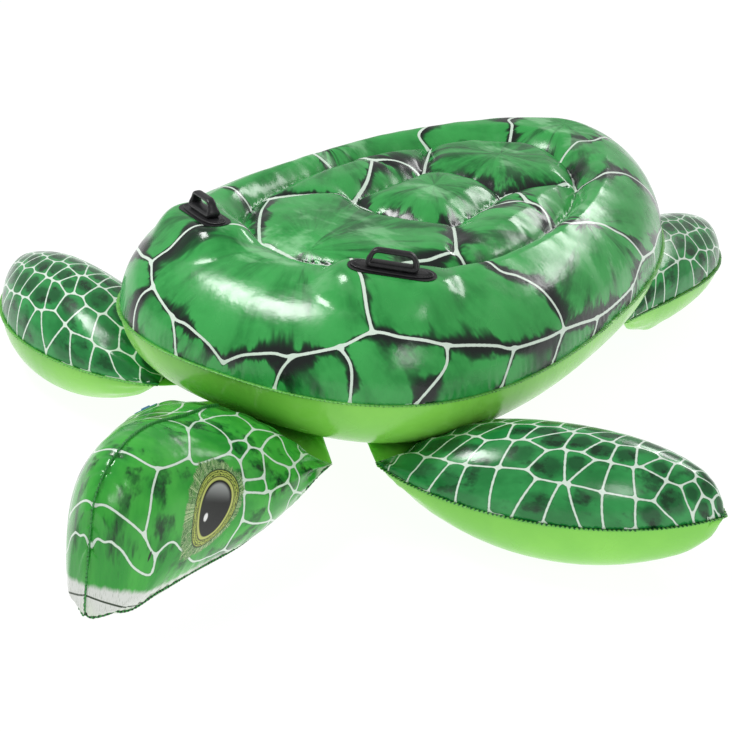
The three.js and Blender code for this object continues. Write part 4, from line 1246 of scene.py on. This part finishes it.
def eye_paint(graph, skin):
    """Painted over the skin's ink: wrinkles, lids and an almond pupil, with a painted reflection on it: a
    grey-white sheen and a white catchlight.
    """
    place = graph.mark("eye", "Vector")
    parts = graph.node("SeparateXYZ", place).outputs
    radius = graph.node("VectorMath", place, operation="LENGTH").outputs["Value"]
    toward = graph.node("VectorMath", place, operation="NORMALIZE").outputs[0]
    folds = graph.noise(toward, 5.0, 4.0, 0.7)
    fine = graph.noise(place, 9.0, 4.0, 0.7)
    outer = graph.math("MULTIPLY_ADD", folds, 0.8, graph.smooth(parts[1], 0.4, -1.4, 1.35, 1.7))
    crease = graph.noise(graph.stretched(place, 1.0, 2.2, 1.0), 3.2, 5.0, 0.75)
    wrinkle = graph.mix(graph.smooth(crease, 0.42, 0.62), linear(34, 104, 38), linear(84, 150, 66))
    for lines, width in ((folds, 0.016), (crease, 0.02), (fine, 0.014)):
        near = graph.math("ABSOLUTE", graph.math("SUBTRACT", lines, 0.5))
        wrinkle = graph.mix(graph.smooth(near, width, 0.004, 0.0, 0.8), wrinkle, linear(206, 226, 170))
    colour = graph.mix(graph.smooth(graph.math("SUBTRACT", outer, radius), -0.06, 0.1), skin, wrinkle)
    ring = graph.math("SINE", graph.math("MULTIPLY_ADD", radius, 62.0, graph.math("MULTIPLY", fine, 14.0)))
    lid = graph.mix(graph.smooth(ring, -0.1, 0.7), linear(186, 202, 92), linear(44, 62, 26))
    # From outside in: the lid's outline, the lid, its inner edge, the iris and the pupil.
    rings = [
        (1.5, 1.42, linear(30, 50, 22)),
        (1.44, 1.36, lid),
        (1.2, 1.14, linear(52, 60, 34)),
        (1.14, 1.1, linear(198, 206, 110)),
        (1.03, 0.97, linear(12, 14, 12)),
    ]
    for start, full, paint in rings:
        colour = graph.mix(graph.smooth(radius, start, full), colour, paint)
    # Painted reflection: a grey-white sheen laid across the pupil.
    sheen = graph.smooth(parts[0], 0.1, 0.95, 0.0, 0.75)
    within = graph.smooth(radius, 0.95, 0.8)
    colour = graph.mix(graph.math("MULTIPLY", sheen, within), colour, linear(196, 200, 198))
    # Painted catchlight: a white dot stands in for a lamp's reflection in the pupil.
    painted_catchlight = graph.node("VectorMath", place, (-0.35, -0.45, 0), operation="DISTANCE").outputs["Value"]
    return graph.mix(graph.smooth(painted_catchlight, 0.17, 0.1), colour, linear(250, 250, 250))


def head_print():
    graph = Graph("head_print")
    flat = graph.mark("flat", "Vector")
    skin, mask = lined(graph, blotched_ink(graph, HEAD_INKS))
    stipple = graph.noise(flat, 300.0, 3.0)
    pale = graph.mix(graph.smooth(stipple, 0.5, 0.75), linear(228, 232, 226), linear(168, 178, 162))
    chin = graph.math("MULTIPLY_ADD", graph.noise(flat, 60.0), 0.016, graph.mark("chin"))
    skin = graph.mix(graph.smooth(chin, 0.002, 0.014), skin, pale)
    cheek = graph.math("MULTIPLY_ADD", graph.noise(flat, 45.0), -0.03, graph.mark("cheek"))
    fade = graph.math("MULTIPLY", graph.smooth(cheek, 0.02, -0.012), 0.85)
    skin = graph.mix(fade, skin, linear(222, 234, 214))
    mouth = graph.math("ABSOLUTE", graph.mark("mouth"))
    skin = graph.mix(graph.smooth(mouth, 0.0024, 0.0012), skin, linear(44, 62, 40))
    skin = graph.mix(graph.smooth(graph.mark("nostril"), 0.0052, 0.0035), skin, linear(24, 48, 26))
    return finish_print(graph, eye_paint(graph, skin), mask)


HEAD_INKS = ((12, 62, 26), (20, 98, 36), (40, 156, 50), (70, 184, 66), (150, 216, 140))
head_skin = head_print()
belly_skin = plain_film("chin_film", (224, 232, 220), (206, 218, 200))
border = side_border(0.0035)
for hand, side in (("left", 1), ("right", -1)):
    film = Film(border, [print_line(on_print(line)) for line in HEAD_LINES], HEAD_STEP, HEAD_PEN)
    film.measure(lambda flat: side_place(flat, side))
    points = side_place(film.flat, side)
    if side < 0:
        points = settled(film, points, "head")
    panel = film_piece(f"head_{hand}_film", film, points, head_marks(film, points))
    finish_piece(panel, "head", "head_film", head_skin, f"head_{hand}_panel")
film = Film(belly_border(0.0035), [], 0.0055, HEAD_PEN)
panel = film_piece("head_belly_film", film, belly_place(film.flat))
finish_piece(panel, "head", "head_film", belly_skin, "head_bottom_panel")


def head_seam(turn_of, side, start):
    """(path, outward) along a seam that lies at a given turn round the head's section."""
    s = np.linspace(start, 1, 700)
    width, ridge, belly = head_sizes(s)
    turn = turn_of(s)
    reach = np.where(turn > 0, ridge, belly)
    path = head_point(s, side * width * np.cos(turn), reach * np.sin(turn))
    beyond = head_point(s, side * (width + 0.01) * np.cos(turn), (reach + 0.01) * np.sin(turn))
    path = under_shell(path)
    tangent = unit(np.gradient(path, axis=0))
    outward = beyond - path
    outward = unit(outward - (outward * tangent).sum(1)[:, None] * tangent)
    run = along_path(path)
    at = np.arange(0, run[-1], SEAM_STEP)
    return [np.stack([np.interp(at, run, line[:, k]) for k in range(3)], axis=1) for line in (path, outward)]


head_edge = seam_film("head_seam", (60, 150, 70), (18, 60, 30), 0.0068)
path, outward = head_seam(lambda s: np.full(len(s), math.pi / 2), 1, 0.18)
finish_piece(seam_ribbon("head_ridge_crimp", path, outward, 0.0048, 0.0068, 3), "head", "head_film", head_edge)
for hand, side in (("left", 1), ("right", -1)):
    path, outward = head_seam(cheek_turn, side, 0.01)
    ribbon = seam_ribbon(f"head_{hand}_cheek_crimp", path, outward, 0.0042, 0.0068, 4 + side)
    finish_piece(ribbon, "head", "head_film", head_edge)

# ---------------------------------------------------------------- weld webs between the shell and its limbs
WEB_OVERLAP = 0.014  # how far a web reaches between the limb's own films
WEB_THICKNESS = 0.0012


def weld_web(name, middle, outward, half, reach, taper):
    """A welded strip of film from under the shell into the root of a limb, lying flat at the hinge's height
    with fine folds.
    """
    middle, outward = np.array(middle), np.array(outward)
    sideways = np.array([-outward[1], outward[0]])
    rows, columns = 28, 48
    v, u = np.meshgrid(np.linspace(-reach, WEB_OVERLAP, rows), np.linspace(-1, 1, columns), indexing="ij")
    width = half - taper * np.clip(-v / reach, 0, 1) - 0.5 * np.maximum(v, 0)
    plan = middle + outward * v[..., None] + sideways * (u * width)[..., None]
    fold = 0.0005 * np.sin(u * 31 + 3 * np.sin(v * 60)) * np.sin((v + reach) / (reach + WEB_OVERLAP) * math.pi)
    height = HINGE_HEIGHT + fold
    top = np.dstack([plan, height + WEB_THICKNESS / 2]).reshape(-1, 3)
    low = np.dstack([plan, height - WEB_THICKNESS / 2]).reshape(-1, 3)
    count = len(top)
    faces = []
    for i in range(rows - 1):
        for j in range(columns - 1):
            a, b = i * columns + j, (i + 1) * columns + j
            faces.append((a, a + 1, b + 1, b))
            faces.append((count + a, count + b, count + b + 1, count + a + 1))
    ring = list(range(columns))
    ring += [i * columns + columns - 1 for i in range(1, rows)]
    ring += [(rows - 1) * columns + j for j in range(columns - 2, -1, -1)]
    ring += [i * columns for i in range(rows - 2, 0, -1)]
    for a, b in zip(ring, ring[1:] + ring[:1]):
        faces.append((b, a, count + a, count + b))
    web = add_piece(name, np.vstack([top, low]), faces)
    web.data.materials.append(web_film)
    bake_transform(web)
    return web


web_film = plain_film("web_film", (140, 220, 88), (124, 206, 80))
for end, shape, taper in (("front", FRONT_FLIPPER, 0.04), ("rear", REAR_FLIPPER, 0.03)):
    for hand, side in (("left", 1), ("right", -1)):
        limb = Limb(**shape, side=side)
        half = np.linalg.norm(limb.ahead(0) - limb.behind(0)) / 2 - 0.001
        limb_name = f"{end}_{hand}"
        place, outward = limb.middle * (side, 1), limb.outward * (side, 1)
        web = weld_web(f"{limb_name}_weld_web", place, outward, half, 0.085, taper)
        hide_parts(f"{limb_name}_weld_tab")
web = weld_web("neck_weld_web", (0, NECK_Y), (0, -1), float(half_width_of(0)) - 0.001, 0.095, 0.095)
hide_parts("neck_weld_tab")


# ---------------------------------------------------------------- mouldings that keep their own shape
def dress(node, material, bevel=0.0):
    """Gives a CAD piece its material, and softens its edges where it has a bevel."""
    piece = frame["nodes"][node]
    piece.data.materials.clear()
    piece.data.materials.append(material)
    if bevel:
        rounding_edge = piece.modifiers.new("rounded", "BEVEL")
        rounding_edge.width = bevel
        rounding_edge.segments = 3
        rounding_edge.limit_method = "ANGLE"
        rounding_edge.angle_limit = math.radians(40)
        rounding_edge.harden_normals = False


for node in frame["nodes"]:
    if "handle_pad" in node:
        dress(node, handle_vinyl, 0.0004)
    elif "strip" in node or "inner_wall" in node or "check_flap" in node:
        dress(node, clear_film)
    elif "valve" in node:
        grey = node.startswith("ring_valve")
        dress(node, valve_grey if grey else valve_blue, 0.0003)

# ---------------------------------------------------------------- grab handles
FLANGE_HALF = (0.071, 0.021)  # half length and half depth of the flange's stadium outline
FLANGE_THICKNESS = 0.0038
FLANGE_SECTION = [  # (share of the outline, share of the thickness) from the middle over the edge and under
    (0.02, 1), (0.3, 1), (0.52, 1), (0.6, 0.86), (0.72, 0.8),
    (0.84, 0.76), (0.94, 0.66), (1, 0.4), (0.99, 0.05), (0.02, 0),
]
KNURL_RIBS = 44
FRAME_CORNERS = [(-0.043, 0.0075), (-0.033, 0.0325), (0.033, 0.0325), (0.043, 0.0075)]  # the grip's centre line


def stadium_point(share, scale):
    """A point on a stadium outline shrunk towards its middle line; share runs once round it."""
    length, radius = FLANGE_HALF[0] - FLANGE_HALF[1], FLANGE_HALF[1]
    turn = share * 2 * math.pi
    straight = np.sign(np.cos(turn)) * length * np.abs(np.cos(turn)) ** 0.35
    return straight + radius * scale * np.cos(turn), radius * scale * np.sin(turn)


def flange_surface(count=176):
    """Rings of the flange from its middle line over its rounded, knurled edge to the underside."""
    share = np.arange(count) / count
    at_end = smoothstep(np.abs(np.cos(share * 2 * math.pi)), 0.45, 0.8)
    rib = 0.00045 * np.sin(share * 2 * math.pi * KNURL_RIBS) * at_end
    rings = []
    for scale, height in FLANGE_SECTION:
        u, v = stadium_point(share, scale)
        knurl = rib * (0.55 < scale < 0.97)
        rings.append((u, v, FLANGE_THICKNESS * height + knurl))
    return rings


def grip_rings(count=120, sides=14):
    """Cross-sections of the grip's closed frame, deeper across than it is thick."""
    corners = np.array(FRAME_CORNERS)
    loop = []
    for before, corner, after in zip(np.roll(corners, 1, 0), corners, np.roll(corners, -1, 0)):
        start = corner + (before - corner) / np.linalg.norm(before - corner) * 0.0095
        end = corner + (after - corner) / np.linalg.norm(after - corner) * 0.0095
        for t in np.linspace(0, 1, 9):
            loop.append((1 - t) ** 2 * start + 2 * t * (1 - t) * corner + t * t * end)
    loop = resample(loop, 0.23 / count, closed=True)
    way = np.roll(loop, -1, 0) - np.roll(loop, 1, 0)
    way /= np.linalg.norm(way, axis=1)[:, None]
    out = np.stack([-way[:, 1], way[:, 0]], axis=1)
    low = smoothstep(loop[:, 1], 0.026, 0.008)
    rings = []
    for angle in np.arange(sides) / sides * 2 * math.pi:
        c = np.sign(math.cos(angle)) * abs(math.cos(angle)) ** 0.75
        d = np.sign(math.sin(angle)) * abs(math.sin(angle)) ** 0.75
        thick = 0.0042 + 0.0012 * low
        deep = 0.0078 + 0.0052 * low
        rings.append((loop[:, 0] + out[:, 0] * thick * c, deep * d, loop[:, 1] + out[:, 1] * thick * c))
    return rings


for hand in ("left", "right"):
    plate = Plate(f"handle_pad_{hand}")
    for part, rings, closed in (("flange", flange_surface(), False), ("frame", grip_rings(), True)):
        points = np.vstack([plate.place(*ring) for ring in rings])
        piece = add_piece(f"handle_{hand}_{part}", points, tube_faces(len(rings), len(rings[0][0]), closed))
        finish_piece(piece, "shell", "handle_black", handle_vinyl, f"handle_grip_{hand}")

# ---------------------------------------------------------------- camera, floor and light
def aim(thing, place, right, up):
    right, up = Vector(right).normalized(), Vector(up).normalized()
    back = right.cross(up)
    turn = Matrix((right, up, back)).transposed().to_4x4()
    thing.matrix_world = Matrix.Translation(place) @ turn


camera = bpy.data.objects.new("camera", bpy.data.cameras.new("camera"))
bpy.context.scene.collection.objects.link(camera)
camera.data.lens = 110.4
camera.data.sensor_width = 36
camera.data.clip_start, camera.data.clip_end = 0.1, 60
aim(camera, (2.1193, -3.3398, 1.717), (0.81807, 0.57377, 0.03945), (-0.26695, 0.31806, 0.90971))
bpy.context.scene.camera = camera

bpy.context.scene.view_settings.view_transform = "Standard"
world = bpy.data.worlds.new("studio")
bpy.context.scene.world = world
world.use_nodes = True
sky = world.node_tree
backdrop = sky.nodes["Background"]
backdrop.inputs[0].default_value = (1, 1, 1, 1)
rays = sky.nodes.new("ShaderNodeLightPath")
level = sky.nodes.new("ShaderNodeMapRange")
level.inputs[3].default_value = 0.42  # what lights the float; the camera itself sees pure white
sky.links.new(rays.outputs["Is Camera Ray"], level.inputs[0])
sky.links.new(level.outputs[0], backdrop.inputs[1])

FLOOR_REACH = 14.0
corners = [(x * FLOOR_REACH, y * FLOOR_REACH, FLOOR_HEIGHT) for x, y in [(-1, -1), (1, -1), (1, 1), (-1, 1)]]
floor = add_piece("floor", corners, [(0, 1, 2, 3)], smooth=False)
paint = Graph("floor_white")
matt = paint.node("BsdfDiffuse", linear(104, 104, 104))
glow = paint.node("Emission", (1, 1, 1, 1), 0.93)
both = paint.node("AddShader", matt.outputs[0], glow.outputs[0])
floor_out = paint.node("OutputMaterial")
paint.tree.links.new(both.outputs[0], floor_out.inputs[0])
floor.data.materials.append(paint.material)


def soft_light(name, place, target, size, power):
    data = bpy.data.lights.new(name, "AREA")
    data.shape = "RECTANGLE"
    data.size, data.size_y = size
    data.energy = power
    light = bpy.data.objects.new(name, data)
    bpy.context.scene.collection.objects.link(light)
    light.location = place
    light.rotation_mode = "QUATERNION"
    light.rotation_quaternion = (Vector(target) - Vector(place)).to_track_quat("-Z", "Y")


soft_light("key", (-1.6, -1.2, 3.0), (0, -0.1, 0.1), (1.2, 0.8), 62)
soft_light("fill", (3.0, -2.2, 2.2), (0, -0.2, 0.1), (0.9, 1.3), 26)
soft_light("rim", (0.6, 3.2, 2.0), (0, 0, 0.1), (2.4, 0.6), 34)
